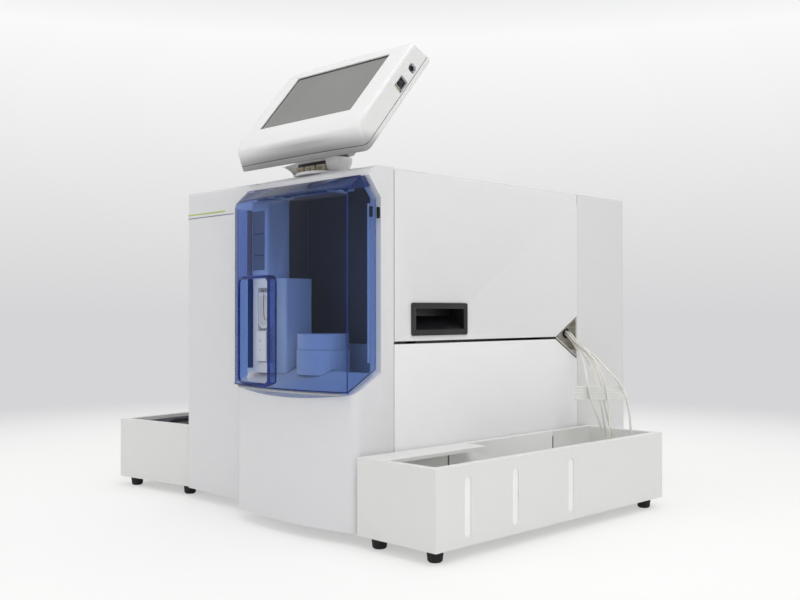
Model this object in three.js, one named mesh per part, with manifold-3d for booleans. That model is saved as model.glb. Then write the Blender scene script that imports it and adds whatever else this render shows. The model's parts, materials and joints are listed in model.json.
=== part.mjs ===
// Bench chemistry analyzer with a lift-up side door, a blue hood, a tilting screen and two bottle caddies.
// Millimetres, +Z up. The front faces -Y, and +X is the right side seen from the front.
// Sizes below are set in the machine's own frame: x = 0 is the outer face of the right side,
// y = 0 is the seam between the front bezel and the side panels, z = 0 is the table.
import * as THREE from "three";
import { mergeVertices } from "three/addons/utils/BufferGeometryUtils.js";
import { ConvexGeometry } from "three/addons/geometries/ConvexGeometry.js";
import Module from "manifold-3d";

const wasm = await Module();
wasm.setup();

// Clearances and shared details
const touchGap = 0.3;
const runGap = 0.5;
const cutOver = 5;
const arcSteps = 4;
const roundSides = 24;
const smallRoundSides = 12;
const stadiumRoundShare = 0.999;
const mergeTolerance = 1e-4;

// Body
const bodyWidth = 346;
const bodyTop = 385;
const bodyBottom = 13;
const sideLength = 326.4;
const rearLength = 109.3;
const bodyBack = sideLength + rearLength;
const panelThickness = 2;
const panelGap = 1.2;
const edgeRadius = 4;
const foldWidth = 10;
const seamHeight = 202.4;
const seamWidth = 3;

// Base pan and its feet
const panThickness = 2.5;
const panRim = 12;
const footInset = 32;
const footTopRadius = 9;
const footEdgeShare = 0.125;
const footBottomRadius = 8;

// Front bezel: a flat wing on the left, a bulging nose on the right
const bezelWall = 3;
const wingFront = 28;
const wingCorner = 5;
const noseWidth = 206;
const noseFront = 53;
const noseBulge = 13;
const noseCornerRight = 8;
const noseCornerLeft = 14;

// Lip round the hood, from its back edge down the slant to its peak and over its shoulder
const lipBack = 18.4;
const lipLow = 172;
const lipDrop = 32.4;
const lipHigh = bodyTop - lipDrop;
const lipReach = 16.8;
const lipPeakFront = lipBack + lipReach;
const lipPeakDrop = 10.9;
const lipPeakHeight = bodyTop - lipPeakDrop;
const lipShoulderBack = 3.2;
const lipShoulderFront = lipPeakFront - lipShoulderBack;
const lipShoulderDrop = 4.5;
const lipShoulderHeight = bodyTop - lipShoulderDrop;
const lipTopBack = 13.2;
const lipTopFront = lipPeakFront - lipTopBack;
const lipBulge = 4;
const lipHollow = 5.6;
const ledgeFallShare = 0.58;
const frameLeft = 14;
const frameRight = 17;
const chamberDrop = 14;
const chamberTop = bodyTop - chamberDrop;

// Hood: it stands ahead of the nose and clears the lip and the slanted ledge
const hoodSideGap = 3;
const hoodRight = hoodSideGap;
const hoodLeftGap = 9.5;
const hoodLeft = noseWidth - hoodLeftGap;
const hoodWall = 2.5;
const hoodProud = 9;
const hoodFront = noseFront + hoodProud;
const hoodBulge = noseBulge;
const hoodLipGap = 4.6;
const hoodBack = lipBack + hoodLipGap;
const hoodLedgeGap = 6.5;
const hoodBackDrop = 2.6;
const hoodBackHigh = lipHigh - hoodBackDrop;
const hoodPeakGap = 8.8;
const hoodPeakFront = lipPeakFront + hoodPeakGap;
const hoodPeakDrop = 0.7;
const hoodPeakHeight = lipPeakHeight - hoodPeakDrop;
const hoodSlantHeight = 16.6;
const hoodCreaseHeight = hoodPeakHeight - hoodSlantHeight;
const hoodCornerRight = 1.5;
const hoodCornerLeft = 4;
const hoodCornerLeast = 0.5;
const hoodSoftening = 5;
const hoodShoulder = 3;
const windowInset = 13.4;
const windowLeft = hoodLeft - windowInset;
const windowWidth = 65.3;
const windowRight = windowLeft - windowWidth;
const windowRise = 4.8;
const windowHeight = 113;
const windowRadius = 5;
const windowDepth = 5;
const hoodRodRadius = 2;
const hoodKnuckleRadius = 4.2;
const hoodEarRadius = 3.6;
const hoodEarEdge = hoodEarRadius / 10;
const hoodEarRound = hoodEarRadius - hoodEarEdge;
const hoodEarShares = [0.24, 0.76];
const hoodKnuckleLength = 12;
const hoodEarLength = 10;
const hoodRodInset = 16;
const hoodPivotBack = 2.2;
const hoodPivotFront = hoodPeakFront - hoodPivotBack;
const hoodPivotDrop = 7;
const hoodPivotHeight = hoodPeakHeight - hoodPivotDrop;

// Side door and its hinge
const doorHingeX = 40;
const doorHingeRise = 0.6;
const doorRodRadius = 1.2;
const doorKnuckleRadius = 2.6;
const doorHingeGap = 3.2;
const doorKnuckleLength = 40;
const coverKnuckleShares = [0, 0.5, 1];
const doorKnuckleShares = [0.25, 0.75];
const handleFront = 25.4;
const handleLength = 88.9;
const handleBack = handleFront + handleLength;
const handleRise = 7;
const handleHeight = 35;
const handleLow = seamHeight + handleRise;
const handleHigh = handleLow + handleHeight;
const handleRim = 4;
const handleRimProud = 1.2;
const handleDepth = 24;
const handleWall = 2;
const handleSlopeShare = 0.55;

// Chamber behind the hood
const chamberBack = 47;
const chamberStep = 6;
const chamberFloor = lipLow - chamberStep;
const chamberWall = 2;
const chamberHandleGap = 4.3;
const chamberBendGap = 1.4;
const chamberBendLength = 4;
const chamberBendEnd = handleFront + handleRim - chamberBendGap;
const chamberFlangeFront = lipBack + hoodLipGap / 2;
const darkPanelRise = 32.5;
const darkPanelLow = chamberFloor + darkPanelRise;
const darkPanelThickness = 4;
const stepDepth = 10;
const columnWidth = 31;
const columnSetBack = 20;
const columnFront = hoodFront - columnSetBack;
const columnDepth = 30;
const columnBack = columnFront - columnDepth;
const columnFootHeight = 12;
const columnDrop = 9;
const columnHigh = chamberTop - columnDrop;
const recessRise = 12;
const recessLow = chamberFloor + recessRise;
const recessHeight = 84;
const recessHigh = recessLow + recessHeight;
const recessWidth = 19.5;
const recessDepth = 9;
const carriageHeight = 41;
const carriageTopGap = 5;
const carriageHigh = recessHigh - carriageTopGap;
const carriageLow = carriageHigh - carriageHeight;
const carriageDepth = 4;
const needleRadius = 0.9;
const needleReach = 10;
const needleTip = carriageLow - needleReach;
const moduleWidth = 17;
const moduleSetBack = 12;
const moduleFront = columnFront - moduleSetBack;
const moduleDepth = 38;
const moduleBack = moduleDepth - moduleFront;
const moduleHeight = 106.6;
const moduleHigh = chamberFloor + moduleHeight;
const moduleCorner = 3;
const stationGap = 8.8;
const stationY = -8.2;
const stationRadius = 29;
const stationBaseHeight = 27;
const stationHeight = 44.4;
const carouselRadius = 28;
const cupCount = 8;
const cupRadius = 4.6;
const cupEdge = 7.5;
const cupCircleRadius = carouselRadius - cupEdge;
const cupDepth = 12;

// Notch for the tubes
const notchLength = 48.1;
const notchApex = sideLength - notchLength;
const notchHalfHeight = 27.6;
const notchDepth = 11;
const notchWall = 1.5;
const notchMargin = 1;
const notchProud = 1;
const notchTab = 12;
const grommetRadius = 6.4;
const grommetBore = 4.5;
const grommetLip = 1;
const grommetInset = 12.4;
const grommetY = sideLength - grommetInset;
const grommetRise = 5.1;
const grommetZ = seamHeight + grommetRise;
const grommetLength = 5;
const grommetBackShare = 0.25;

// Rear cover, fan, inlet and switch
const rearWall = 2;
const fanX = 92;
const fanDrop = 103;
const fanZ = bodyTop - fanDrop;
const fanSize = 80;
const fanDepth = 25;
const fanWall = 3;
const fanBore = fanSize / 2 - fanWall;
const fanHubRadius = 16;
const fanBladeCount = 7;
const fanTipGap = 2;
const fanBladeRadius = fanBore - fanTipGap;
const fanBladeThickness = 2;
const fanAxleRadius = 2;
const fanBracketDepth = 4;
const ventCount = 7;
const ventWidth = 60;
const ventHeight = 4;
const ventPitch = 9;
const inletInset = 78;
const inletX = bodyWidth - inletInset;
const inletRise = 49;
const inletZ = bodyBottom + inletRise;
const inletDepth = 32;
const inletRim = 4;
const socketWidth = 26;
const socketHeight = 18;
const socketDepth = 18;
const switchWidth = 21;
const switchHeight = 12;
const switchDepth = 12;
const inletSide = 12;
const inletWidth = socketWidth + 2 * inletSide;
const inletSpare = 10;
const inletHeight = socketHeight + switchHeight + 2 * inletRim + inletSpare;
const rockerSwing = 1.6;

// Inside the rear half
const pumpPanelX = 64;
const pumpPanelGap = 49;
const pumpPanelFront = chamberBack + pumpPanelGap;
const pumpPanelEnd = 26.4;
const pumpPanelBack = sideLength - pumpPanelEnd;
const pumpPanelDrop = 13;
const pumpPanelHigh = bodyTop - pumpPanelDrop;
const pumpPanelThickness = 2;
const pumpHeadRadius = 27;
const pumpHeadGap = 20;
const pumpPitch = 2 * pumpHeadRadius + pumpHeadGap;
const pumpMargin = 15;
const pumpStart = pumpPanelFront + pumpHeadRadius + pumpMargin;
const pumpDrop = 85;
const pumpHeight = bodyTop - pumpDrop;
const pumpHeadDepth = 26;
const pumpHeadWall = 7;
const pumpBore = pumpHeadRadius - pumpHeadWall;
const pumpMotorRadius = 17;
const pumpMotorLength = 44;
const rollerRadius = 4.5;
const rollerGap = 2.5;
const rotorRadius = pumpBore - rollerRadius - rollerGap;
const rollerCount = 3;
const rotorAxleRadius = 3;
const valveLength = 120;
const valveHeight = 26;
const valveDepth = 20;
const valveGap = 21;
const valveLow = pumpHeight - pumpHeadRadius - valveGap - valveHeight;
const valvePortCount = 5;
const valvePortRadius = 4;
const valvePortLength = 9;
const boardLength = 190;
const boardHeight = 230;
const boardThickness = 1.8;
const boardGap = 12;
const boardFront = pumpPanelFront + boardGap;
const boardRise = 53;
const boardLow = bodyBottom + boardRise;
const boardStand = 6;
const chipShares = [
  [0.12, 0.14, 0.2, 0.12], [0.45, 0.2, 0.14, 0.14], [0.16, 0.5, 0.28, 0.1], [0.62, 0.62, 0.2, 0.16],
];
const chipHeight = 5;
const supplyWidth = 98;
const supplyVentInset = supplyWidth / 5;
const supplyLength = 150;
const supplyHeight = 52;
const supplyWall = 2;
const supplySlotShares = [0.25, 0.5, 0.75];
const supplyInset = 46;
const supplyX = bodyWidth - supplyInset;
const supplyEnd = 49.7;
const supplyFront = bodyBack - supplyEnd - supplyLength;

// Screen unit
const screenShift = 4;
const screenX = noseWidth / 2 + screenShift;
const screenWidth = 157;
const screenHeight = 90;
const glassThickness = 14;
const glassMargin = 8;
const tiltAngle = 40 * Math.PI / 180;
const tiltPivotY = 4;
const tiltPivotRise = 28;
const tiltPivotZ = bodyTop + tiltPivotRise;
const screenAhead = 49.3;
const screenRise = 43.8;
const unitRimLeft = 23.6;
const unitRimRight = 30.4;
const unitRimTop = 13;
const unitRimBottom = 21.6;
const frameProud = 0.8;
const frameDepth = 21.5;
const unitDepth = 28;
const unitFlareTop = 6;
const unitFlareBottom = 16.5;
const unitFlareSide = 1.5;
const shoulderDepth = 4;
const shoulderLeft = 5.5;
const shoulderLow = 2;
const unitCorner = 10;
const faceSoftening = 3;
const unitWall = 3;
const earThickness = 6;
const earSpread = 30;
const earRadius = 8;
const tiltPinRadius = 3;
const portDepth = 9;
const portCorner = 1;
const jackAhead = 8.5;
const jackRise = 4.6;
const jackWidth = 18;
const jackHeight = 12;
const plugAhead = 10.5;
const plugRise = 30.5;
const plugWidth = 8;
const plugHeight = 9;
const socketRadius = 34;
const socketThickness = 3;
const neckHalfWidth = 33;
const neckHalfDepth = 18;
const neckFlare = 22;
const neckRise = 18;
const neckTop = bodyTop + neckRise;
const neckWaist = 14;
const neckCorner = 8;
const bayWidth = 42;
const bayHeight = 11;
const bayDepth = 9;

// Bottle caddies
const caddyLength = 397.6;
const caddyBottom = 12.2;
const caddyHeight = 78;
const caddyTop = caddyBottom + caddyHeight;
const caddyWall = 9;
const caddyFloor = 4;
const caddyFootInset = 16;
const caddyFootTopRadius = 8.4;
const caddyFootBottomRadius = 7.2;
const rightCaddyWidth = 107.6;
const rightCaddyGap = 3;
const rightCaddyFront = 54.5;
const slotWidth = 9.4;
const slotRise = 8.8;
const slotLow = caddyBottom + slotRise;
const slotDrop = 12.2;
const slotHigh = caddyTop - slotDrop;
const slotShares = [0.1137, 0.2953, 0.5327];
const grooveWidth = 2;
const grooveDepth = 1.5;
const grooveShares = [0.314, 0.785];
const coverWidth = 34.5;
const coverLength = 151.5;
const coverThickness = 4;
const coverInset = 3;
const leftCaddyWidth = 140;
const leftCaddyGap = 144.3;
const leftCaddyX = bodyWidth + leftCaddyGap;
const leftCaddyY = 41.2;
const leftCaddyTurn = 8 * Math.PI / 180;
const insertDrop = 5;
const insertThickness = 5;
const insertHoleMargin = 19;
const insertHoleShares = [0.2, 0.5, 0.8];
const insertLeg = 8;
const insertGap = 1;

// Free tubes: millimetres in the machine's frame, from the grommet down into the right caddy
const tubeRadius = 1.3;
const tubeSides = 8;
const tubeSteps = 52;
const tubeRoutes = {
  tube_1: [
    [-15, 311.9, 206.1], [-8, 311.9, 206.1], [-2.5, 311.1, 202.8], [5.7, 311.4, 193.7],
    [21.1, 302.8, 183.8], [32.4, 292.9, 173.4], [45.2, 280.2, 158.6], [51, 276.1, 144.1],
    [52.8, 277.9, 132.1], [54.2, 280.8, 122.4], [55.3, 287.5, 110.6], [55.8, 295.2, 95.5],
    [55.7, 300.8, 78.1], [55, 299, 55], [56, 297, 33], [57.5, 287, 20.5], [58, 270, 18.2], [57, 250, 18.2],
    [55, 230, 18.2], [52, 210, 18.2],
  ],
  tube_2: [
    [-15, 312, 209], [-8, 312, 209], [-2.5, 311.2, 206.3], [7.3, 310.2, 197.5], [23.7, 304, 191],
    [38.3, 298.8, 182], [52.1, 294.3, 169.8], [62.5, 290.5, 155.3], [65.8, 291.1, 143.5],
    [67.3, 292.6, 131.5], [68.9, 292.8, 119.6], [71.1, 290.7, 104.4], [72, 288.8, 86.7], [72, 288, 62],
    [72.5, 286, 40], [73.5, 277, 22.5], [74, 260, 18.2], [74, 240, 18.2], [73, 219, 18.2], [71, 198, 18.2],
  ],
  tube_3: [
    [-15, 314.9, 209.8], [-8, 314.9, 209.8], [-2.5, 315.2, 207.3], [6.6, 316.6, 197.1],
    [22.7, 312.9, 188.5], [38, 309.9, 179.2], [53.4, 308.4, 167.5], [70.1, 302.5, 156.3],
    [78.6, 303.3, 147.1], [81.8, 307.2, 136.9], [84, 309.5, 124.9], [85.2, 312.1, 111], [85.5, 313.8, 91.7],
    [85.5, 313.5, 68], [86.5, 313, 44], [88, 304, 24], [89, 287, 18.2], [89.5, 266, 18.2], [89, 245, 18.2],
    [87.5, 224, 18.2],
  ],
  tube_4: [
    [-15, 314.7, 205.1], [-8, 314.7, 205.1], [-2.5, 315, 201.6], [4.7, 316.1, 190.2], [20.5, 310.7, 180.8],
    [33.8, 304.2, 170.6], [46.3, 295.5, 158], [55.3, 289, 145.4], [57.8, 288.7, 136.6], [59, 289.8, 126.3],
    [58.8, 293.9, 114], [58.2, 299.1, 97.8], [57.5, 305.5, 77.8], [61, 305, 55], [63, 303, 34],
    [65.5, 293, 20.5], [66.5, 275, 18.2], [66, 254, 18.2], [64, 233, 18.2], [61.5, 212, 18.2],
  ],
  tube_5: [
    [-15, 316.5, 207.4], [-8, 316.5, 207.4], [-2.5, 317.5, 204.4], [3.9, 319.5, 193.4],
    [20.6, 315.1, 184.2], [35.1, 309.8, 174.1], [47.4, 302.4, 161.4], [58.1, 293.3, 147.2],
    [60.6, 292.3, 136.5], [61.8, 293.6, 125.1], [62, 298.6, 111.5], [61.2, 306.4, 95.1],
    [60.3, 315.4, 77.2], [73, 317.5, 55], [76.5, 315, 34], [80, 303.5, 20.5], [81.5, 285, 18.2],
    [81.5, 264, 18.2], [80.5, 243, 18.2], [79, 222, 18.2],
  ],
};
const bandMiddle = [60.5, 288.6, 137];
const bandAhead = 31;
const bandBehind = 25;
const bandHeight = 17;
const bandThickness = 0.8;
const bandRibDepth = bandThickness / 4;
const bandRibCount = 4;
const bandRibHeight = 1.4;
const viewTurn = Math.PI / 4;

// Colours and finishes
function finish(color, roughness, metalness) {
  return new THREE.MeshStandardMaterial({ color, roughness, metalness });
}
const whitePaint = finish(0xe4e5e6, 0.35, 0);
const bezelPlastic = finish(0xe6e7ea, 0.4, 0);
const unitPlastic = finish(0xeff0f1, 0.4, 0);
const caddyPaint = finish(0xe0e1e0, 0.45, 0);
const linerPlastic = finish(0xd5d8db, 0.5, 0);
const blackPlastic = finish(0x1d1d20, 0.45, 0);
const darkPanel = finish(0x26272b, 0.6, 0);
const darkFoam = finish(0x3c3f47, 0.9, 0);
const rubber = finish(0x1a1a1c, 0.85, 0);
const zinc = finish(0xa5a29c, 0.4, 0.9);
const steel = finish(0xb4b6ba, 0.3, 1);
const glassGrey = finish(0x8f8e89, 0.12, 0);
const boardGreen = finish(0x1f6a3c, 0.6, 0);
const bandClearPlastic = finish(0xe9e8dc, 0.35, 0);
const milkTube = finish(0xe7e3d2, 0.3, 0);
const beigePlastic = finish(0xcfc4a6, 0.55, 0);
const hoodBlue = finish(0x4a68b8, 0.08, 0);

// Ways to make solids
function toSolid(geometry) {
  geometry.deleteAttribute("normal");
  geometry.deleteAttribute("uv");
  const merged = mergeVertices(geometry, mergeTolerance);
  return new wasm.Manifold(new wasm.Mesh({
    numProp: 3,
    vertProperties: new Float32Array(merged.attributes.position.array),
    triVerts: new Uint32Array(merged.index.array),
  }));
}

function toGeometry(solid) {
  const mesh = solid.getMesh();
  const geometry = new THREE.BufferGeometry();
  const corners = new Float32Array(mesh.numVert * 3);
  for (let i = 0; i < mesh.numVert; i++) {
    for (let k = 0; k < 3; k++) corners[3 * i + k] = mesh.vertProperties[mesh.numProp * i + k];
  }
  geometry.setAttribute("position", new THREE.BufferAttribute(corners, 3));
  geometry.setIndex(new THREE.BufferAttribute(new Uint32Array(mesh.triVerts), 1));
  geometry.computeVertexNormals();
  return geometry;
}

function block(x0, x1, y0, y1, z0, z1) {
  const geometry = new THREE.BoxGeometry(x1 - x0, y1 - y0, z1 - z0);
  geometry.translate((x0 + x1) / 2, (y0 + y1) / 2, (z0 + z1) / 2);
  return toSolid(geometry);
}

// An outline of pairs, drawn across the named axis and stretched along it
const across = {
  x: new THREE.Matrix4().makeBasis(
    new THREE.Vector3(0, 1, 0), new THREE.Vector3(0, 0, 1), new THREE.Vector3(1, 0, 0),
  ),
  y: new THREE.Matrix4().makeBasis(
    new THREE.Vector3(1, 0, 0), new THREE.Vector3(0, 0, 1), new THREE.Vector3(0, -1, 0),
  ),
  z: new THREE.Matrix4(),
};

function prism(axis, outline, from, to) {
  const shape = new THREE.Shape(outline.map(([a, b]) => new THREE.Vector2(a, b)));
  const geometry = new THREE.ExtrudeGeometry(shape, { depth: to - from, bevelEnabled: false });
  geometry.applyMatrix4(across[axis]);
  if (axis === "x") geometry.translate(from, 0, 0);
  if (axis === "y") geometry.translate(0, to, 0);
  if (axis === "z") geometry.translate(0, 0, from);
  return toSolid(geometry);
}

function circle(a, b, radius, sides) {
  const points = [];
  for (let i = 0; i < sides; i++) {
    const turn = 2 * Math.PI * (i + 0.5) / sides;
    points.push([a + radius * Math.cos(turn), b + radius * Math.sin(turn)]);
  }
  return points;
}

function rod(axis, a, b, radius, from, to, sides = roundSides) {
  return prism(axis, circle(a, b, radius, sides), from, to);
}

// Replaces each corner of a closed outline by an arc; radii has one value for each corner
function roundCorners(points, radii, steps = arcSteps) {
  const result = [];
  points.forEach((point, i) => {
    const radius = radii[i];
    if (!radius) {
      result.push(point);
      return;
    }
    const here = new THREE.Vector2(...point);
    const last = points[(i + points.length - 1) % points.length];
    const next = points[(i + 1) % points.length];
    const toLast = new THREE.Vector2(...last).sub(here).normalize();
    const toNext = new THREE.Vector2(...next).sub(here).normalize();
    const half = Math.acos(toLast.dot(toNext)) / 2;
    const middle = toLast.clone().add(toNext).normalize().multiplyScalar(radius / Math.sin(half)).add(here);
    const start = here.clone().addScaledVector(toLast, radius / Math.tan(half)).sub(middle);
    const turn = Math.PI - 2 * half;
    const side = Math.sign(toLast.cross(toNext));
    for (let k = 0; k <= steps; k++) {
      const spoke = start.clone().rotateAround(new THREE.Vector2(), -side * turn * k / steps).add(middle);
      result.push([spoke.x, spoke.y]);
    }
  });
  return result;
}

function rectangle(a0, a1, b0, b1, radii = [0, 0, 0, 0]) {
  return roundCorners([[a0, b0], [a1, b0], [a1, b1], [a0, b1]], radii);
}

function stadium(a, b0, b1, width) {
  const r = width / 2;
  const round = r * stadiumRoundShare;
  return rectangle(a - r, a + r, b0, b1, [round, round, round, round]);
}

function join(first, ...rest) {
  return rest.reduce((sum, piece) => sum.add(piece), first);
}

function cut(first, ...rest) {
  return rest.reduce((sum, piece) => sum.subtract(piece), first);
}

function convex(points) {
  return toSolid(new ConvexGeometry(points.map(([x, y, z]) => new THREE.Vector3(x, y, z))));
}

function place(parent, name, solid, material) {
  const mesh = new THREE.Mesh(toGeometry(solid), material);
  mesh.name = name;
  parent.add(mesh);
  return mesh;
}

const bulgeSteps = 14;

// The bulging front: how far a point at x stands ahead of the flat front
function bulgeAt(x, x0, x1, bulge) {
  const share = (2 * x - x0 - x1) / (x1 - x0);
  return bulge * Math.max(0, 1 - share * share);
}

function bulgedPlan(x0, x1, front, back, leftRadius, rightRadius, bulge, wall = 0) {
  const corners = roundCorners(
    [[x1, back], [x0, back], [x0, -front], [x1, -front]],
    [0, 0, leftRadius, rightRadius],
  );
  const plan = [];
  corners.forEach(([x, y], i) => {
    plan.push([x, y]);
    const [nextX, nextY] = corners[(i + 1) % corners.length];
    const alongFront = Math.abs(y + front) < touchGap && Math.abs(nextY + front) < touchGap;
    if (alongFront && nextX - x > (x1 - x0) / 2) {
      for (let k = 1; k < bulgeSteps; k++) plan.push([x + (nextX - x) * k / bulgeSteps, y]);
    }
  });
  const limit = -front + Math.max(leftRadius, rightRadius);
  return plan.map(([x, y]) => {
    const reach = y < limit ? Math.min(1, (limit - y) / (limit + front || 1)) : 0;
    return [x, y - reach * bulgeAt(x, x0 - wall, x1 + wall, bulge)];
  });
}

const machine = new THREE.Group();
const sideBack = sideLength - panelGap / 2;
const innerLeft = -bodyWidth + panelThickness;

// Feet: black rubber, tapered, one under each corner
function foot(topRadius, bottomRadius, height) {
  const edge = height * footEdgeShare;
  const profile = [[0, 0], [bottomRadius - edge, 0], [bottomRadius, edge], [topRadius, height], [0, height]];
  const geometry = new THREE.LatheGeometry(profile.map(([r, z]) => new THREE.Vector2(r, z)), roundSides);
  geometry.rotateX(Math.PI / 2);
  return toSolid(geometry);
}

function placeFeet(parent, prefix, x0, x1, y0, y1, solid) {
  const corners = { front_left: [x0, y0], front_right: [x1, y0], rear_left: [x0, y1], rear_right: [x1, y1] };
  for (const [corner, [x, y]] of Object.entries(corners)) {
    place(parent, `${prefix}_${corner}`, solid, rubber).position.set(x, y, 0);
  }
}

// Base pan
const panLeft = innerLeft + touchGap;
const panRight = -panelThickness - touchGap;
const panFront = touchGap;
const panBack = bodyBack - rearWall - touchGap;
const basePan = cut(
  block(panLeft, panRight, panFront, panBack, bodyBottom, bodyBottom + panThickness + panRim),
  block(
    panLeft + panThickness, panRight - panThickness, panFront + panThickness, panBack - panThickness,
    bodyBottom + panThickness, bodyBottom + panThickness + panRim + cutOver,
  ),
);
place(machine, "base_pan", basePan, zinc);
placeFeet(
  machine, "foot", -bodyWidth + footInset, -footInset, footInset, bodyBack - footInset,
  foot(footTopRadius, footBottomRadius, bodyBottom - touchGap),
);
const insideFloor = bodyBottom + panThickness + touchGap;

// Outline in Y and Z of the side opening for the tubes, grown outwards by a margin
function notchOutline(margin) {
  const slope = notchHalfHeight / (sideLength - notchApex);
  const apex = notchApex - margin * Math.hypot(1, slope) / slope;
  const half = slope * (sideLength + cutOver - apex);
  return [
    [apex, seamHeight], [sideLength + cutOver, seamHeight - half],
    [sideLength + cutOver, seamHeight + half],
  ];
}

// Lower right panel: a folded sheet with a flange along its top
const lowerTop = seamHeight - seamWidth / 2;
const lowerPanel = cut(
  join(
    block(-panelThickness, 0, panelGap, sideBack, bodyBottom, lowerTop),
    block(-foldWidth, 0, panelGap, sideBack, lowerTop - panelThickness, lowerTop),
  ),
  prism("x", notchOutline(0), -foldWidth - cutOver, cutOver),
);
place(machine, "lower_side_panel", lowerPanel, whitePaint);

// Left side panel, folded inwards at the top under the top cover
const leftTop = bodyTop - foldWidth - edgeRadius;
const leftPanel = join(
  block(-bodyWidth, -bodyWidth + panelThickness, panelGap, sideBack, bodyBottom, leftTop),
  block(-bodyWidth, -bodyWidth + foldWidth, panelGap, sideBack, leftTop - panelThickness, leftTop),
);
place(machine, "left_side_panel", leftPanel, whitePaint);

// Top cover: a bent sheet, rounded down over the left side, with hinge knuckles on its right edge
const hingeZ = bodyTop + doorHingeRise;
const coverEdge = -doorHingeX - doorHingeGap;
const topOutline = roundCorners(
  [
    [coverEdge, bodyTop], [-bodyWidth, bodyTop], [-bodyWidth, leftTop + panelGap],
    [-bodyWidth + panelThickness, leftTop + panelGap],
    [-bodyWidth + panelThickness, bodyTop - panelThickness],
    [coverEdge, bodyTop - panelThickness],
  ],
  [0, edgeRadius, 0, 0, edgeRadius - panelThickness, 0],
);

function hingeKnuckle(from, to, edge) {
  const web = block(
    Math.min(edge, -doorHingeX), Math.max(edge, -doorHingeX), from, to, bodyTop - panelThickness, hingeZ,
  );
  return cut(
    join(rod("y", -doorHingeX, hingeZ, doorKnuckleRadius, from, to, smallRoundSides), web),
    rod("y", -doorHingeX, hingeZ, doorRodRadius + touchGap, from - cutOver, to + cutOver, smallRoundSides),
  );
}

const knuckleSpan = sideBack - panelGap;
const coverKnuckles = coverKnuckleShares.map((share) => panelGap + share * (knuckleSpan - doorKnuckleLength));
const doorKnuckles = doorKnuckleShares.map((share) => panelGap + share * (knuckleSpan - doorKnuckleLength));
const topCover = join(
  prism("y", topOutline, panelGap, sideBack),
  ...coverKnuckles.map((y) => hingeKnuckle(y, y + doorKnuckleLength, coverEdge)),
);
place(machine, "top_cover", topCover, whitePaint);
const doorRod = rod("y", -doorHingeX, hingeZ, doorRodRadius, panelGap, sideBack, smallRoundSides);
place(machine, "door_hinge_rod", doorRod, steel);

// Side door: side sheet and a strip of the top in one bent piece, with the corner cut for the tubes
const doorLow = seamHeight + seamWidth / 2;
const doorEdge = -doorHingeX + doorHingeGap;
const doorOutline = roundCorners(
  [
    [0, doorLow], [0, bodyTop], [doorEdge, bodyTop], [doorEdge, bodyTop - panelThickness],
    [-panelThickness, bodyTop - panelThickness], [-panelThickness, doorLow + panelThickness],
    [-foldWidth, doorLow + panelThickness], [-foldWidth, doorLow],
  ],
  [0, edgeRadius, 0, 0, edgeRadius - panelThickness, 0, 0, 0],
);
const door = cut(
  join(
    prism("y", doorOutline, panelGap, sideBack),
    ...doorKnuckles.map((y) => hingeKnuckle(y, y + doorKnuckleLength, doorEdge)),
  ),
  prism("x", notchOutline(0), -foldWidth - cutOver, cutOver),
  block(
    -foldWidth - cutOver, cutOver, handleFront + handleRim, handleBack - handleRim,
    handleLow + handleRim, handleHigh - handleRim,
  ),
);
place(machine, "side_door", door, whitePaint);

// Pull handle: a black cup with a rim, deep at the top and sloping out at the bottom
const cupFront = handleFront + handleRim + touchGap;
const cupBack = handleBack - handleRim - touchGap;
const cupLow = handleLow + handleRim + touchGap;
const cupHigh = handleHigh - handleRim - touchGap;
const cupSlope = cupLow + (cupHigh - cupLow) * handleSlopeShare;
const handleCup = cut(
  join(
    prism(
      "y", [[touchGap, cupLow], [touchGap, cupHigh], [-handleDepth, cupHigh], [-handleDepth, cupSlope]],
      cupFront, cupBack,
    ),
    prism("x", rectangle(
      handleFront, handleBack, handleLow, handleHigh,
      [handleRim / 2, handleRim / 2, handleRim / 2, handleRim / 2],
    ), touchGap, touchGap + handleRimProud),
  ),
  prism("y", [
    [handleRimProud + cutOver, cupLow + handleWall], [handleRimProud + cutOver, cupHigh - handleWall],
    [-handleDepth + handleWall, cupHigh - handleWall], [-handleDepth + handleWall, cupSlope + handleWall],
    [0, cupLow + handleWall],
  ], cupFront + handleWall, cupBack - handleWall),
);
place(machine, "door_handle_cup", handleCup, blackPlastic);

// Notch lining: a three-cornered tray of bright metal set into the side, with a hole for the grommet
function liningOutline(margin, back) {
  const outline = notchOutline(-margin);
  const [apex] = outline[0];
  const half = notchHalfHeight / (sideLength - notchApex) * (back - apex);
  return [[apex, seamHeight], [back, seamHeight - half], [back, seamHeight + half]];
}
const liningBack = sideLength - panelGap;
const liningFloor = -notchDepth + notchWall;
const tabTop = seamHeight - notchHalfHeight / 2;
const notchLining = join(
  cut(
    prism("x", liningOutline(notchMargin, liningBack), -notchDepth, -notchProud),
    prism("x", liningOutline(notchMargin + notchWall, liningBack - notchWall), liningFloor, cutOver),
    rod("x", grommetY, grommetZ, grommetRadius - grommetLip + touchGap, -notchDepth - cutOver, cutOver),
  ),
  block(
    -panelThickness - touchGap - notchWall, -panelThickness - touchGap, liningBack - notchTab,
    liningBack - notchWall,
    tabTop - 2 * notchTab, tabTop - notchWall,
  ),
);
place(machine, "tube_notch_lining", notchLining, zinc);
const grommetBack = -notchDepth - grommetLength * grommetBackShare;
const grommet = cut(
  join(
    rod(
      "x", grommetY, grommetZ, grommetRadius - grommetLip, grommetBack, grommetBack + grommetLength,
      smallRoundSides,
    ),
    rod(
      "x", grommetY, grommetZ, grommetRadius, liningFloor + touchGap, grommetBack + grommetLength,
      smallRoundSides,
    ),
  ),
  rod(
    "x", grommetY, grommetZ, grommetBore, grommetBack - cutOver, grommetBack + grommetLength + cutOver,
    smallRoundSides,
  ),
);
place(machine, "tube_grommet", grommet, rubber);

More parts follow.
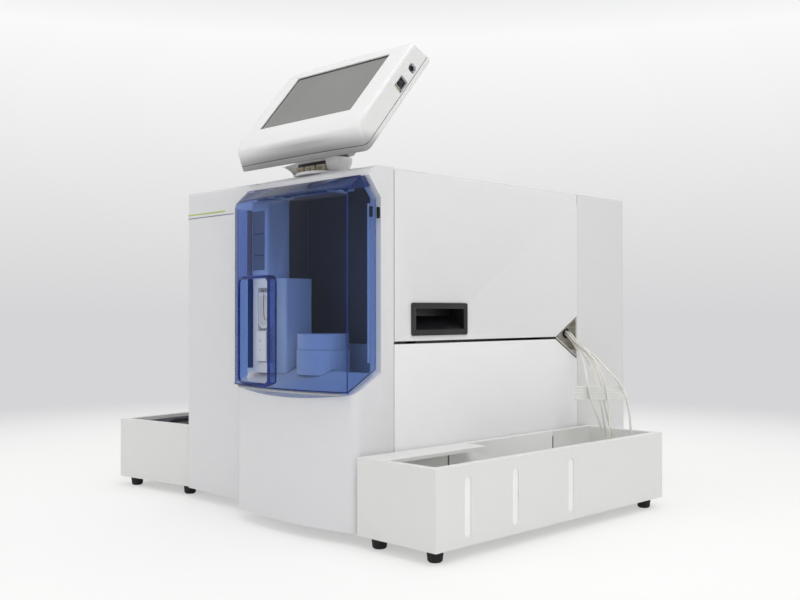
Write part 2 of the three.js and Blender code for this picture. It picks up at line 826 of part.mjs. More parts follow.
// Rear cover: a shell open to the front, with a fan window, an inlet window and a flange round its front edge
const rearFront = sideLength + panelGap / 2;
const rearPlan = rectangle(-bodyWidth, 0, rearFront, bodyBack, [0, 0, edgeRadius, edgeRadius]);
const rearEnd = rectangle(-bodyWidth, 0, bodyBottom, bodyTop, [0, 0, edgeRadius, edgeRadius]);
const rearSide = rectangle(rearFront, bodyBack, bodyBottom, bodyTop, [0, 0, edgeRadius, 0]);
const rearHull = prism("z", rearPlan, bodyBottom, bodyTop)
  .intersect(prism("y", rearEnd, rearFront, bodyBack))
  .intersect(prism("x", rearSide, -bodyWidth, 0));
const rearInside = block(
  -bodyWidth + rearWall, -rearWall, rearFront - cutOver, bodyBack - rearWall, bodyBottom - cutOver,
  bodyTop - rearWall,
);
const vents = [];
for (let i = 0; i < ventCount; i++) {
  const z = fanZ + (i - (ventCount - 1) / 2) * ventPitch;
  vents.push(prism(
    "y", stadium(0, -ventWidth / 2, ventWidth / 2, ventHeight).map(([a, b]) => [b - fanX, a + z]),
    bodyBack - rearWall - cutOver, bodyBack + cutOver,
  ));
}
const inletWindow = block(
  -inletX - inletWidth / 2, -inletX + inletWidth / 2, bodyBack - rearWall - cutOver, bodyBack + cutOver,
  inletZ - inletHeight / 2, inletZ + inletHeight / 2,
);
place(machine, "rear_cover", cut(rearHull, rearInside, ...vents, inletWindow), whitePaint);

// Fan: a square frame with a round bore and a hub bracket, and its rotor
const fanBack = bodyBack - rearWall - touchGap;
const fanFront = fanBack - fanDepth;
const fanFrame = join(
  cut(
    prism("y", rectangle(
      -fanX - fanSize / 2, -fanX + fanSize / 2, fanZ - fanSize / 2, fanZ + fanSize / 2,
      [edgeRadius, edgeRadius, edgeRadius, edgeRadius],
    ), fanFront, fanBack),
    rod("y", -fanX, fanZ, fanBore, fanFront - cutOver, fanBack + cutOver),
  ),
  block(
    -fanX - fanBore - panelGap, -fanX + fanBore + panelGap, fanFront, fanFront + fanBracketDepth / 2,
    fanZ - fanBracketDepth, fanZ + fanBracketDepth,
  ),
  rod("y", -fanX, fanZ, fanAxleRadius, fanFront, fanBack - fanBracketDepth, smallRoundSides),
);
place(machine, "fan_frame", fanFrame, blackPlastic);
const rotorFront = fanFront + fanBracketDepth / 2 + runGap;
const rotorBack = fanBack - fanBracketDepth / 2;
let fanRotor = rod("y", 0, 0, fanHubRadius, rotorFront, rotorBack);
for (let i = 0; i < fanBladeCount; i++) {
  const blade = convex([-1, 1].flatMap((side) => [fanHubRadius / 2, fanBladeRadius].flatMap((reach) => [
    [side * fanBladeThickness / 2 + fanHubRadius / 3, rotorFront + fanBracketDepth / 2, reach],
    [side * fanBladeThickness / 2 - fanHubRadius / 3, rotorBack - fanBracketDepth, reach],
  ])));
  fanRotor = fanRotor.add(blade.rotate([0, 360 * i / fanBladeCount, 0]));
}
fanRotor = fanRotor.subtract(
  rod(
    "y", 0, 0, fanAxleRadius + touchGap, rotorFront - cutOver, fanBack - fanBracketDepth + runGap,
    smallRoundSides,
  ),
);
place(machine, "fan_rotor", fanRotor, blackPlastic).position.set(-fanX, 0, fanZ);

// Power inlet: a black block with a socket and a switch well, and its rocker
const inletFace = bodyBack + panelGap;
const socketZ = inletZ - inletHeight / 2 + inletRim + socketHeight / 2;
const switchZ = inletZ + inletHeight / 2 - inletRim - switchHeight / 2;
const inletGrown = inletRim / 2;
const powerInlet = cut(
  join(
    block(
      -inletX - inletWidth / 2 + touchGap, -inletX + inletWidth / 2 - touchGap, inletFace - inletDepth,
      inletFace,
      inletZ - inletHeight / 2 + touchGap, inletZ + inletHeight / 2 - touchGap,
    ),
    block(
      -inletX - inletWidth / 2 - inletGrown, -inletX + inletWidth / 2 + inletGrown, bodyBack + touchGap,
      inletFace,
      inletZ - inletHeight / 2 - inletGrown, inletZ + inletHeight / 2 + inletGrown,
    ),
  ),
  block(
    -inletX - socketWidth / 2, -inletX + socketWidth / 2, inletFace - socketDepth, inletFace + cutOver,
    socketZ - socketHeight / 2, socketZ + socketHeight / 2,
  ),
  block(
    -inletX - switchWidth / 2, -inletX + switchWidth / 2, inletFace - switchDepth, inletFace + cutOver,
    switchZ - switchHeight / 2, switchZ + switchHeight / 2,
  ),
);
place(machine, "power_inlet", powerInlet, blackPlastic);
const rockerHalf = switchWidth / 2 - runGap * 2;
const rockerPivot = inletFace - switchDepth / 2;
const rocker = prism("z", [
  [-rockerHalf, rockerPivot - rockerSwing], [0, rockerPivot - switchDepth / 3],
  [rockerHalf, rockerPivot - rockerSwing],
  [rockerHalf, inletFace - rockerSwing], [0, inletFace - rockerSwing - rockerSwing / 2],
  [-rockerHalf, inletFace - rockerSwing],
], switchZ - switchHeight / 2 + runGap, switchZ + switchHeight / 2 - runGap);
place(machine, "power_rocker", rocker, blackPlastic).position.set(-inletX, 0, 0);

// Front bezel: flat wing, bulging nose with a slanted ledge below the hood, lip above it
function ledgeHeight(y) {
  return lipLow + ledgeFallShare * (y + lipBack);
}
const noseFar = noseFront + noseBulge + cutOver;
const nosePlan = bulgedPlan(-noseWidth, 0, noseFront, 0, noseCornerLeft, noseCornerRight, noseBulge);
const noseSide = [
  [0, bodyBottom], [0, bodyTop], [-lipTopFront, bodyTop], [-lipShoulderFront, lipShoulderHeight],
  [-lipPeakFront, lipPeakHeight], [-lipBack, lipHigh], [-lipBack, lipLow], [-noseFar, ledgeHeight(-noseFar)],
  [-noseFar, bodyBottom],
];
const nose = prism("z", nosePlan, bodyBottom, bodyTop).intersect(prism(
  "x", noseSide.reverse(), -noseWidth, 0,
));

// Points of the lip's crown, pushed forward in the middle
function crown(inset, rows) {
  const points = [];
  for (let i = 0; i <= bulgeSteps; i++) {
    const x = -noseWidth + inset + (noseWidth - 2 * inset) * i / bulgeSteps;
    const push = bulgeAt(x, -noseWidth, 0, lipBulge);
    rows.forEach(([y, z]) => points.push([x, y - push, z]));
  }
  return points;
}
const lipCrown = convex([
  ...crown(
    0, [[-lipTopFront, bodyTop], [-lipShoulderFront, lipShoulderHeight], [-lipPeakFront, lipPeakHeight]],
  ),
  [-noseWidth, -panelGap, bodyTop], [0, -panelGap, bodyTop],
  [-noseWidth, -panelGap, lipPeakHeight], [0, -panelGap, lipPeakHeight],
]);
const wingPlan = rectangle(-bodyWidth, -noseWidth + bezelWall, -wingFront, 0, [wingCorner, 0, 0, 0]);
const wingSide = rectangle(-wingFront, 0, bodyBottom, bodyTop, [0, 0, 0, wingCorner]);
const wing = prism("z", wingPlan, bodyBottom, bodyTop).intersect(prism("x", wingSide, -bodyWidth, 0));
const wingInside = block(
  -bodyWidth + bezelWall, -noseWidth, -wingFront + bezelWall, cutOver, bodyBottom + bezelWall,
  bodyTop - bezelWall,
);
const noseInside = prism("z", bulgedPlan(
  -noseWidth + bezelWall, -bezelWall, noseFront - bezelWall, cutOver, noseCornerLeft - bezelWall,
  noseCornerRight - bezelWall, noseBulge, bezelWall,
), bodyBottom + bezelWall, bodyTop).intersect(prism("x", [
  [cutOver, bodyBottom + bezelWall], [-noseFar, bodyBottom + bezelWall],
  [-noseFar, ledgeHeight(-noseFar) - bezelWall],
  [-lipBack + bezelWall, ledgeHeight(-lipBack + bezelWall) - bezelWall * 2],
  [-lipBack + bezelWall, chamberTop - cutOver],
  [cutOver, chamberTop - cutOver],
].reverse(), -noseWidth + bezelWall, -bezelWall));
const lipPocket = block(
  -noseWidth + bezelWall, -bezelWall, -lipBack - lipHollow, cutOver, chamberTop + bezelWall * 2,
  bodyTop - bezelWall,
);
const chamberLeft = -noseWidth + frameLeft;
const chamberRight = -frameRight;
const chamberOpening = block(
  chamberLeft, chamberRight, -noseFar, cutOver, chamberFloor + cutOver, chamberTop,
);
const earHalf = hoodEarLength / 2;
const hoodStations = hoodEarShares.map((share) => -hoodLeft + share * (hoodLeft - hoodRight));
const earBase = -lipBack + bezelWall;
const earStep = hoodPivotHeight + hoodEarRadius / 3;
const earOutline = roundCorners(
  [
    [-hoodPivotFront - hoodEarRadius, hoodPivotHeight - hoodEarRadius],
    [earBase, hoodPivotHeight - hoodEarRadius],
    [earBase, chamberTop + bezelWall], [-lipBack - bezelWall, chamberTop + bezelWall],
    [-lipBack - bezelWall, earStep], [-lipPeakFront, earStep],
    [-hoodPivotFront, hoodPivotHeight + hoodEarRadius],
    [-hoodPivotFront - hoodEarRadius, hoodPivotHeight + hoodEarRadius],
  ],
  [hoodEarRound, 0, 0, 0, 0, 0, 0, hoodEarRound],
);
const ears = hoodStations.map((x) => cut(
  prism("x", earOutline, x - earHalf, x + earHalf),
  rod(
    "x", -hoodPivotFront, hoodPivotHeight, hoodRodRadius + touchGap, x - earHalf - cutOver,
    x + earHalf + cutOver, smallRoundSides,
  ),
));
const bezel = join(
  cut(join(nose, lipCrown, wing), wingInside, noseInside, lipPocket, chamberOpening),
  ...ears,
);
place(machine, "front_bezel", bezel, bezelPlastic);
const hoodRod = rod(
  "x", -hoodPivotFront, hoodPivotHeight, hoodRodRadius, -hoodLeft + hoodRodInset,
  -hoodRight - hoodRodInset, smallRoundSides,
);
place(machine, "hood_hinge_rod", hoodRod, blackPlastic);

// Hood: a thin clear shell with a bulging front, open behind, with a framed window
const hoodBottom = ledgeHeight(-hoodFront) + hoodLedgeGap;
const hoodBackLow = ledgeHeight(-hoodBack) + hoodLedgeGap;
const windowLow = hoodBottom + windowRise;
const windowHigh = windowLow + windowHeight;
function hoodPoints(inset) {
  const points = [];
  const x0 = -hoodLeft + inset;
  const x1 = -hoodRight - inset;
  const front = hoodFront - inset;
  const plan = bulgedPlan(
    x0, x1, front, -hoodBack, Math.max(hoodCornerLeft - inset, hoodCornerLeast),
    Math.max(hoodCornerRight - inset, hoodCornerLeast), hoodBulge, inset,
  ).filter(([, y]) => y < -hoodBack - touchGap);
  plan.forEach(([x, y]) => {
    points.push([x, y, hoodBottom], [x, y, hoodCreaseHeight - hoodSoftening * 2 - inset / 2]);
    points.push([x, y + hoodSoftening / 3, hoodCreaseHeight - inset * 2 / 3]);
  });
  const shoulderX = x0 - hoodShoulder / 2;
  const shoulderY = -(hoodFront + hoodPeakFront) / 2 + inset / 2;
  points.push([
    shoulderX + hoodShoulder / 2, shoulderY - hoodShoulder,
    hoodCreaseHeight + hoodSlantHeight / 2 - inset / 2,
  ]);
  points.push([
    shoulderX + hoodShoulder / 2, shoulderY + hoodShoulder / 2,
    hoodPeakHeight - hoodShoulder - inset * 2 / 3,
  ]);
  [x0, x1].forEach((x) => {
    points.push([x, -hoodPeakFront + inset / 2, hoodPeakHeight - inset]);
    points.push([x, -hoodBack, hoodBackHigh], [x, -hoodBack, hoodBackLow]);
  });
  return points;
}
const windowHalfWidth = (windowLeft - windowRight) / 2;
const windowX = -(windowLeft + windowRight) / 2;
const windowCorners = [windowRadius, windowRadius, windowRadius, windowRadius];
function windowPrism(grow, from, to) {
  return prism("y", rectangle(
    windowX - windowHalfWidth - grow, windowX + windowHalfWidth + grow, windowLow - grow,
    windowHigh + grow, windowCorners,
  ), from, to);
}
const hoodOuter = convex(hoodPoints(0));
const hoodInner = convex([
  ...hoodPoints(hoodWall),
  ...hoodPoints(hoodWall).filter(
    ([, , z]) => z < hoodBackLow + touchGap,
  ).map(([x, y, z]) => [x, y, z - cutOver * 2]),
  ...[-hoodLeft + hoodWall, -hoodRight - hoodWall].flatMap((x) => [
    [x, -hoodBack + cutOver, hoodBackHigh - hoodWall], [x, -hoodBack + cutOver, hoodBackLow - cutOver * 2],
    [x, -hoodPeakFront + hoodWall * 2, hoodPeakHeight - hoodWall],
  ]),
]);
const windowBack = -hoodFront - hoodBulge / 2 + windowDepth;
const windowFrame = cut(
  windowPrism(hoodWall, -hoodFront - hoodBulge - cutOver, windowBack).intersect(hoodOuter),
  windowPrism(0, -hoodFront - hoodBulge * 2, windowBack + cutOver),
);
const hoodKnuckles = hoodStations.map((x) => {
  const from = x + earHalf + runGap;
  const web = block(
    from, from + hoodKnuckleLength, -hoodPeakFront - hoodWall, -hoodPivotFront, hoodPivotHeight,
    hoodPeakHeight,
  );
  return cut(
    join(
      rod(
        "x", -hoodPivotFront, hoodPivotHeight, hoodKnuckleRadius, from, from + hoodKnuckleLength,
        smallRoundSides,
      ),
      web.intersect(hoodOuter),
    ),
    rod(
      "x", -hoodPivotFront, hoodPivotHeight, hoodRodRadius + touchGap, from - cutOver,
      from + hoodKnuckleLength + cutOver, smallRoundSides,
    ),
  );
});
const hood = join(
  cut(cut(hoodOuter, hoodInner), windowPrism(0, -hoodFront - hoodBulge * 2, windowBack + cutOver)),
  windowFrame, ...hoodKnuckles,
);
place(machine, "hood", hood, hoodBlue);

// Chamber liner: the light box behind the hood, with a step along its back wall
const linerLeft = chamberLeft + touchGap;
const linerRight = chamberRight - touchGap;
const linerTop = chamberTop - touchGap * 2;
const backRight = -handleDepth - chamberHandleGap;
const linerFloorTop = chamberFloor;
const linerFront = -lipBack + bezelWall + touchGap;
function linerPlan(margin, front, back) {
  const side = linerRight - margin;
  const backSide = backRight - margin;
  return [
    [linerLeft + margin, front], [side, front], [side, chamberBendEnd - chamberBendLength - margin],
    [backSide, chamberBendEnd - margin], [backSide, back], [linerLeft + margin, back],
  ];
}
const flangeLow = lipLow + cutOver * 2;
const flangeHigh = lipHigh - cutOver;
const liner = cut(
  join(
    prism("z", linerPlan(0, linerFront, chamberBack), linerFloorTop - chamberWall, linerTop),
    block(
      linerRight - chamberWall, linerRight, -chamberFlangeFront, linerFront + cutOver, flangeLow,
      flangeHigh,
    ),
    block(
      linerLeft, linerLeft + chamberWall, -chamberFlangeFront, linerFront + cutOver, flangeLow,
      flangeHigh,
    ),
  ),
  prism(
    "z", linerPlan(chamberWall, linerFront - cutOver, chamberBack - chamberWall), linerFloorTop,
    linerTop - chamberWall,
  ),
);
const columnLeft = linerLeft + chamberWall + touchGap;
const columnRight = columnLeft + columnWidth;
const stepBlock = block(
  columnRight + touchGap, backRight - chamberWall / 2, chamberBack - chamberWall - stepDepth,
  chamberBack - chamberWall / 2,
  linerFloorTop - chamberWall / 2, darkPanelLow,
);
place(machine, "chamber_liner", join(liner, stepBlock), linerPlastic);
const darkBack = chamberBack - chamberWall - touchGap;
const darkSheet = block(
  linerLeft + chamberWall + touchGap, backRight - chamberWall - touchGap, darkBack - darkPanelThickness,
  darkBack,
  darkPanelLow + touchGap, linerTop - chamberWall - touchGap,
);
place(machine, "chamber_back_panel", darkSheet, darkPanel);

// Room kept above the slanted ledge of the bezel by the pieces that stand on the chamber floor
const ledgeClear = prism("x", [
  [-noseFar, 0], [earBase + touchGap, 0], [earBase + touchGap, lipLow + touchGap],
  [-lipBack, lipLow + touchGap],
  [-noseFar, ledgeHeight(-noseFar) + touchGap],
], -bodyWidth, 0);

// Sampler column with a recess that the sipper carriage slides in
const columnLow = linerFloorTop + touchGap;
const columnFootBack = darkBack - darkPanelThickness - touchGap;
const column = cut(
  join(
    prism(
      "z",
      rectangle(columnLeft, columnRight, -columnFront, -columnBack, [moduleCorner, moduleCorner, 0, 0]),
      columnLow, columnHigh,
    ),
    block(
      columnLeft, columnRight, -columnBack - chamberWall, columnFootBack, columnLow,
      columnLow + columnFootHeight,
    ),
  ),
  prism("z", rectangle(
    columnRight - recessWidth, columnRight + cutOver, -columnFront - cutOver, -columnFront + recessDepth,
  ), recessLow, recessHigh),
  ledgeClear,
);
place(machine, "sampler_column", column, linerPlastic);
const carriageLeft = columnRight - recessWidth + runGap;
const carriageRight = columnRight - runGap;
const carriageRadius = (carriageRight - carriageLeft) / 2 - runGap;
const carriageFront = -columnFront + runGap;
const carriage = prism("y", rectangle(
  carriageLeft, carriageRight, carriageLow, carriageHigh, [carriageRadius, carriageRadius, 0, 0],
), carriageFront, -columnFront + recessDepth - touchGap);
const needleX = (carriageLeft + carriageRight) / 2;
const needleY = carriageFront + carriageDepth;
const needleBore = rod(
  "z", needleX, needleY, needleRadius + touchGap, carriageLow - cutOver, carriageHigh - cutOver,
  smallRoundSides,
);
place(machine, "sipper_carriage", cut(carriage, needleBore), linerPlastic);
const needle = rod(
  "z", needleX, needleY, needleRadius, needleTip, carriageHigh - cutOver - touchGap, smallRoundSides,
);
place(machine, "sipper_needle", needle, steel);

// Sensor module beside the column
const moduleLeft = columnRight + runGap;
const sensorModule = prism("z", rectangle(
  moduleLeft, moduleLeft + moduleWidth, -moduleFront, moduleBack, [0, moduleCorner, moduleCorner, 0],
), linerFloorTop + touchGap, moduleHigh);
place(machine, "sensor_module", cut(sensorModule, ledgeClear), linerPlastic);

// Sample station: fixed base and a turning carousel with cups
const stationX = -(moduleLeft + moduleWidth + stationGap + stationRadius);
const stationLow = linerFloorTop + touchGap;
const carouselLow = stationLow + stationBaseHeight + touchGap;
const axleRadius = cupRadius;
const stationBase = join(
  rod("z", -stationX, stationY, stationRadius, stationLow, stationLow + stationBaseHeight),
  rod(
    "z", -stationX, stationY, axleRadius, stationLow, stationLow + stationHeight - cupDepth / 2,
    smallRoundSides,
  ),
);
place(machine, "carousel_base", cut(stationBase, ledgeClear), linerPlastic);
const cups = [];
for (let i = 0; i < cupCount; i++) {
  const turn = 2 * Math.PI * i / cupCount;
  cups.push(rod(
    "z", cupCircleRadius * Math.cos(turn), cupCircleRadius * Math.sin(turn), cupRadius,
    stationLow + stationHeight - cupDepth, stationLow + stationHeight + cutOver, smallRoundSides,
  ));
}
const carousel = cut(
  rod("z", 0, 0, carouselRadius, carouselLow, stationLow + stationHeight),
  rod(
    "z", 0, 0, axleRadius + touchGap, carouselLow - cutOver,
    stationLow + stationHeight - cupDepth / 2 + runGap, smallRoundSides,
  ),
  ...cups,
);
place(machine, "sample_carousel", carousel, linerPlastic).position.set(-stationX, stationY, 0);

// Pump panel: an upright sheet that carries the roller pumps and the valve block
const pumpYs = [0, 1].map((i) => pumpStart + i * pumpPitch);
const pumpPanel = cut(
  join(
    block(
      -pumpPanelX - pumpPanelThickness, -pumpPanelX, pumpPanelFront, pumpPanelBack, insideFloor,
      pumpPanelHigh,
    ),
    block(
      -pumpPanelX - foldWidth * 2, -pumpPanelX, pumpPanelFront, pumpPanelBack, insideFloor,
      insideFloor + pumpPanelThickness,
    ),
  ),
  ...pumpYs.map((y) => rod(
    "x", y, pumpHeight, pumpMotorRadius + touchGap, -pumpPanelX - cutOver * 2, -pumpPanelX + cutOver,
  )),
);
place(machine, "pump_panel", pumpPanel, zinc);
const headBack = -pumpPanelX + touchGap;
const headFront = headBack + pumpHeadDepth;
const headFloor = headBack + bezelWall;
pumpYs.forEach((y, i) => {
  const body = join(
    cut(
      rod("x", y, pumpHeight, pumpHeadRadius, headBack, headFront),
      rod("x", y, pumpHeight, pumpBore, headFloor, headFront + cutOver),
    ),
    rod("x", y, pumpHeight, pumpMotorRadius, headBack - pumpMotorLength, headFloor),
    rod("x", y, pumpHeight, rotorAxleRadius, headBack, headFront - cutOver, smallRoundSides),
  );
  place(machine, `pump_body_${i + 1}`, body, beigePlastic);
  let rotor = rod("x", 0, 0, rotorRadius, headFloor + runGap, headFront - cutOver / 2);
  for (let k = 0; k < rollerCount; k++) {
    const turn = 2 * Math.PI * k / rollerCount;
    rotor = rotor.add(rod(
      "x", rotorRadius * Math.cos(turn), rotorRadius * Math.sin(turn), rollerRadius,
      headFloor + runGap * 2, headFront - cutOver, smallRoundSides,
    ));
  }
  rotor = rotor.subtract(rod(
    "x", 0, 0, rotorAxleRadius + touchGap, headFloor - cutOver, headFront - cutOver + runGap, smallRoundSides,
  ));
  place(machine, `pump_rotor_${i + 1}`, rotor, blackPlastic).position.set(0, y, pumpHeight);
});
let valves = block(
  -pumpPanelX + touchGap, -pumpPanelX + touchGap + valveDepth, pumpStart - pumpHeadRadius,
  pumpStart - pumpHeadRadius + valveLength, valveLow, valveLow + valveHeight,
);
for (let i = 0; i < valvePortCount; i++) {
  const y = pumpStart - pumpHeadRadius + valveLength * (i + 0.5) / valvePortCount;
  valves = valves.add(rod(
    "x", y, valveLow + valveHeight / 2, valvePortRadius, -pumpPanelX + valveDepth,
    -pumpPanelX + valveDepth + valvePortLength, smallRoundSides,
  ));
}
place(machine, "valve_block", valves, beigePlastic);

// Main circuit board on standoffs at the left panel, and the power supply on the pan
const boardLeft = innerLeft + boardStand;
let board = block(
  boardLeft, boardLeft + boardThickness, boardFront, boardFront + boardLength, boardLow,
  boardLow + boardHeight,
);
for (const [yShare, zShare, lengthShare, heightShare] of chipShares) {
  const y = boardFront + yShare * boardLength;
  const z = boardLow + zShare * boardHeight;
  board = board.add(block(
    boardLeft + boardThickness / 2, boardLeft + boardThickness + chipHeight, y,
    y + lengthShare * boardLength, z, z + heightShare * boardHeight,
  ));
}
[boardFront + foldWidth, boardFront + boardLength - foldWidth].forEach((y) => {
  [boardLow + foldWidth, boardLow + boardHeight - foldWidth].forEach((z) => {
    board = board.add(rod(
      "x", y, z, rotorAxleRadius, innerLeft + touchGap, boardLeft + boardThickness / 2, smallRoundSides,
    ));
  });
});
place(machine, "main_board", board, boardGreen);
const supply = cut(
  block(
    -supplyX, -supplyX + supplyWidth, supplyFront, supplyFront + supplyLength, insideFloor,
    insideFloor + supplyHeight,
  ),
  block(
    -supplyX + supplyWall, -supplyX + supplyWidth - supplyWall, supplyFront + supplyWall,
    supplyFront + supplyLength - supplyWall,
    insideFloor - cutOver, insideFloor + supplyHeight - supplyWall,
  ),
  ...supplySlotShares.map((share) => block(
    -supplyX + supplyVentInset, -supplyX + supplyWidth - supplyVentInset,
    supplyFront + supplyLength * share - ventHeight / 2,
    supplyFront + supplyLength * share + ventHeight / 2, insideFloor + supplyHeight - panThickness,
    insideFloor + supplyHeight + cutOver,
  )),
);
place(machine, "power_supply", supply, zinc);

// Swivel socket and neck of the screen unit
const socketLow = bodyTop + touchGap;
const neckLow = socketLow + socketThickness + touchGap;
place(
  machine, "monitor_socket",
  rod("z", -screenX, 0, socketRadius, socketLow, socketLow + socketThickness, roundSides), bezelPlastic,
);
const neckPost = convex([
  ...rectangle(
    -neckHalfWidth, neckHalfWidth, -neckHalfDepth, neckHalfDepth,
    [neckCorner, neckCorner, neckCorner, neckCorner],
  )
    .map(([x, y]) => [x, y, neckLow]),
  ...rectangle(
    -neckHalfWidth - neckFlare, neckHalfWidth - bezelWall, -neckWaist, neckWaist,
    [neckCorner, neckCorner, neckCorner, neckCorner],
  )
    .map(([x, y]) => [x, y, neckTop]),
]);
const barrelHalf = earSpread - runGap;
const neck = cut(
  join(
    neckPost,
    rod("x", tiltPivotY, tiltPivotZ, earRadius, -barrelHalf, barrelHalf),
    block(
      -barrelHalf, barrelHalf, tiltPivotY - earRadius, tiltPivotY + earRadius, neckTop - cutOver,
      tiltPivotZ,
    ),
    rod(
      "x", tiltPivotY, tiltPivotZ, tiltPinRadius, -earSpread - earThickness, earSpread + earThickness,
      smallRoundSides,
    ),
  ),
  block(
    -neckHalfWidth + bezelWall, -neckHalfWidth + bezelWall + bayWidth, -neckHalfDepth - cutOver,
    -neckHalfDepth + bayDepth,
    neckLow + bezelWall, neckLow + bezelWall + bayHeight + cutOver,
  ).intersect(block(-bodyWidth, bodyWidth, -bodyWidth, bodyWidth, 0, neckTop - panelGap)),
);
place(machine, "monitor_neck", neck, unitPlastic).position.set(-screenX, 0, 0);

// Screen unit, drawn upright about its tilt pivot and then leaned back
const unit = new THREE.Group();
unit.position.set(-screenX, tiltPivotY, tiltPivotZ);
unit.rotation.x = -tiltAngle;
machine.add(unit);
function unitSection(depth, grow, left = 0, low = 0) {
  const share = depth / unitDepth;
  const x0 = -screenWidth / 2 - unitRimLeft - unitFlareSide * share - left - grow;
  const x1 = screenWidth / 2 + unitRimRight + unitFlareSide * share + grow;
  const z0 = screenRise - screenHeight / 2 - unitRimBottom - unitFlareBottom * share - low - grow;
  const z1 = screenRise + screenHeight / 2 + unitRimTop + unitFlareTop * share + grow;
  const radius = unitCorner + grow;
  return rectangle(
    x0, x1, z0, z1, [radius, radius, radius, radius],
  ).map(([x, z]) => [x, depth - screenAhead, z]);
}
const frameSolid = convex([
  ...unitSection(-frameProud, -faceSoftening), ...unitSection(faceSoftening - frameProud, 0),
  ...unitSection(shoulderDepth, 0, shoulderLeft, shoulderLow), ...unitSection(frameDepth, 0, shoulderLeft, 0),
]);
const framePocket = convex([
  ...unitSection(unitWall, -unitWall - faceSoftening / 2), ...unitSection(frameDepth + cutOver, -unitWall),
]);
const screenOpening = block(
  -screenWidth / 2, screenWidth / 2, -screenAhead - cutOver, -screenAhead + cutOver,
  screenRise - screenHeight / 2, screenRise + screenHeight / 2,
);
const flankX = screenWidth / 2 + unitRimRight;
const portFloor = flankX - portDepth - unitWall;
const ports = [[jackAhead, jackRise, jackWidth, jackHeight], [plugAhead, plugRise, plugWidth, plugHeight]];
const portCuts = ports.map(([ahead, rise, width, height]) => prism("x", rectangle(
  -screenAhead + ahead, -screenAhead + ahead + height, screenRise + rise - width / 2,
  screenRise + rise + width / 2,
  [portCorner, portCorner, portCorner, portCorner],
), flankX - portDepth, flankX + cutOver));
const portHousing = ports.map(([ahead, rise, width, height]) => block(
  portFloor, flankX, -screenAhead + ahead - panelThickness, -screenAhead + ahead + height + panelThickness,
  screenRise + rise - width / 2 - panelThickness, screenRise + rise + width / 2 + panelThickness,
));
place(unit, "monitor_frame", cut(
  frameSolid, cut(framePocket, ...portHousing), screenOpening, ...portCuts,
), unitPlastic);
const glass = join(
  block(
    -screenWidth / 2 + touchGap, screenWidth / 2 - touchGap, -screenAhead,
    -screenAhead + unitWall + touchGap * 2,
    screenRise - screenHeight / 2 + touchGap, screenRise + screenHeight / 2 - touchGap,
  ),
  block(
    -screenWidth / 2 - glassMargin, screenWidth / 2 + glassMargin, -screenAhead + unitWall + touchGap,
    -screenAhead + unitWall + glassThickness + touchGap, screenRise - screenHeight / 2 - glassMargin,
    screenRise + screenHeight / 2 + glassMargin / 2,
  ),
);
place(unit, "touch_screen", glass, glassGrey);
const shellSolid = convex([
  ...unitSection(frameDepth + touchGap, 0, shoulderLeft, 0),
  ...unitSection(unitDepth - faceSoftening / 2, 0, shoulderLeft, 0),
  ...unitSection(unitDepth, -faceSoftening, shoulderLeft, 0),
]);
const shellPocket = convex([
  ...unitSection(frameDepth - cutOver, -unitWall),
  ...unitSection(unitDepth - unitWall, -unitWall - faceSoftening),
]);
const shellBack = -screenAhead + unitDepth;
const shellEars = [-1, 1].map((side) => {
  const inner = side * earSpread;
  const outer = side * (earSpread + earThickness);
  const web = prism("x", [
    [shellBack - panelGap, -earRadius * 2], [0, -earRadius], [0, earRadius],
    [shellBack - panelGap, earRadius * 2],
  ], Math.min(inner, outer), Math.max(inner, outer));
  return cut(
    join(web, rod("x", 0, 0, earRadius, Math.min(inner, outer), Math.max(inner, outer))),
    rod(
      "x", 0, 0, tiltPinRadius + touchGap, -earSpread - earThickness - cutOver,
      earSpread + earThickness + cutOver, smallRoundSides,
    ),
  );
});
place(unit, "monitor_rear_shell", join(cut(shellSolid, shellPocket), ...shellEars), unitPlastic);

// Caddies: open trays on four feet, drawn with their front left corner at the origin
function tray(width) {
  return cut(
    block(0, width, 0, caddyLength, caddyBottom, caddyTop),
    block(
      caddyWall, width - caddyWall, caddyWall, caddyLength - caddyWall, caddyBottom + caddyFloor,
      caddyTop + cutOver,
    ),
  );
}
const caddyFoot = foot(caddyFootTopRadius, caddyFootBottomRadius, caddyBottom - touchGap);
const rightCaddy = new THREE.Group();
rightCaddy.position.set(rightCaddyGap, -rightCaddyFront, 0);
machine.add(rightCaddy);
const rebateLow = caddyTop - coverThickness - touchGap;
const slots = slotShares.map((share) => prism(
  "x", stadium(share * caddyLength, slotLow, slotHigh, slotWidth), rightCaddyWidth - caddyWall - cutOver,
  rightCaddyWidth + cutOver,
));
const grooves = grooveShares.map((share) => block(
  caddyWall - grooveDepth, caddyWall + cutOver, share * caddyLength, share * caddyLength + grooveWidth,
  caddyBottom + caddyFloor, caddyTop + cutOver,
));
place(rightCaddy, "right_caddy_tray", cut(
  tray(rightCaddyWidth), ...slots, ...grooves,
  block(
    coverInset - touchGap, coverInset + coverWidth + touchGap, coverInset - touchGap,
    coverInset + coverLength + touchGap,
    rebateLow, caddyTop + cutOver,
  ),
), caddyPaint);
place(rightCaddy, "right_caddy_cover", block(
  coverInset, coverInset + coverWidth, coverInset, coverInset + coverLength, caddyTop - coverThickness,
  caddyTop,
), caddyPaint);
placeFeet(
  rightCaddy, "right_caddy_foot", caddyFootInset, rightCaddyWidth - caddyFootInset, caddyFootInset,
  caddyLength - caddyFootInset, caddyFoot,
);

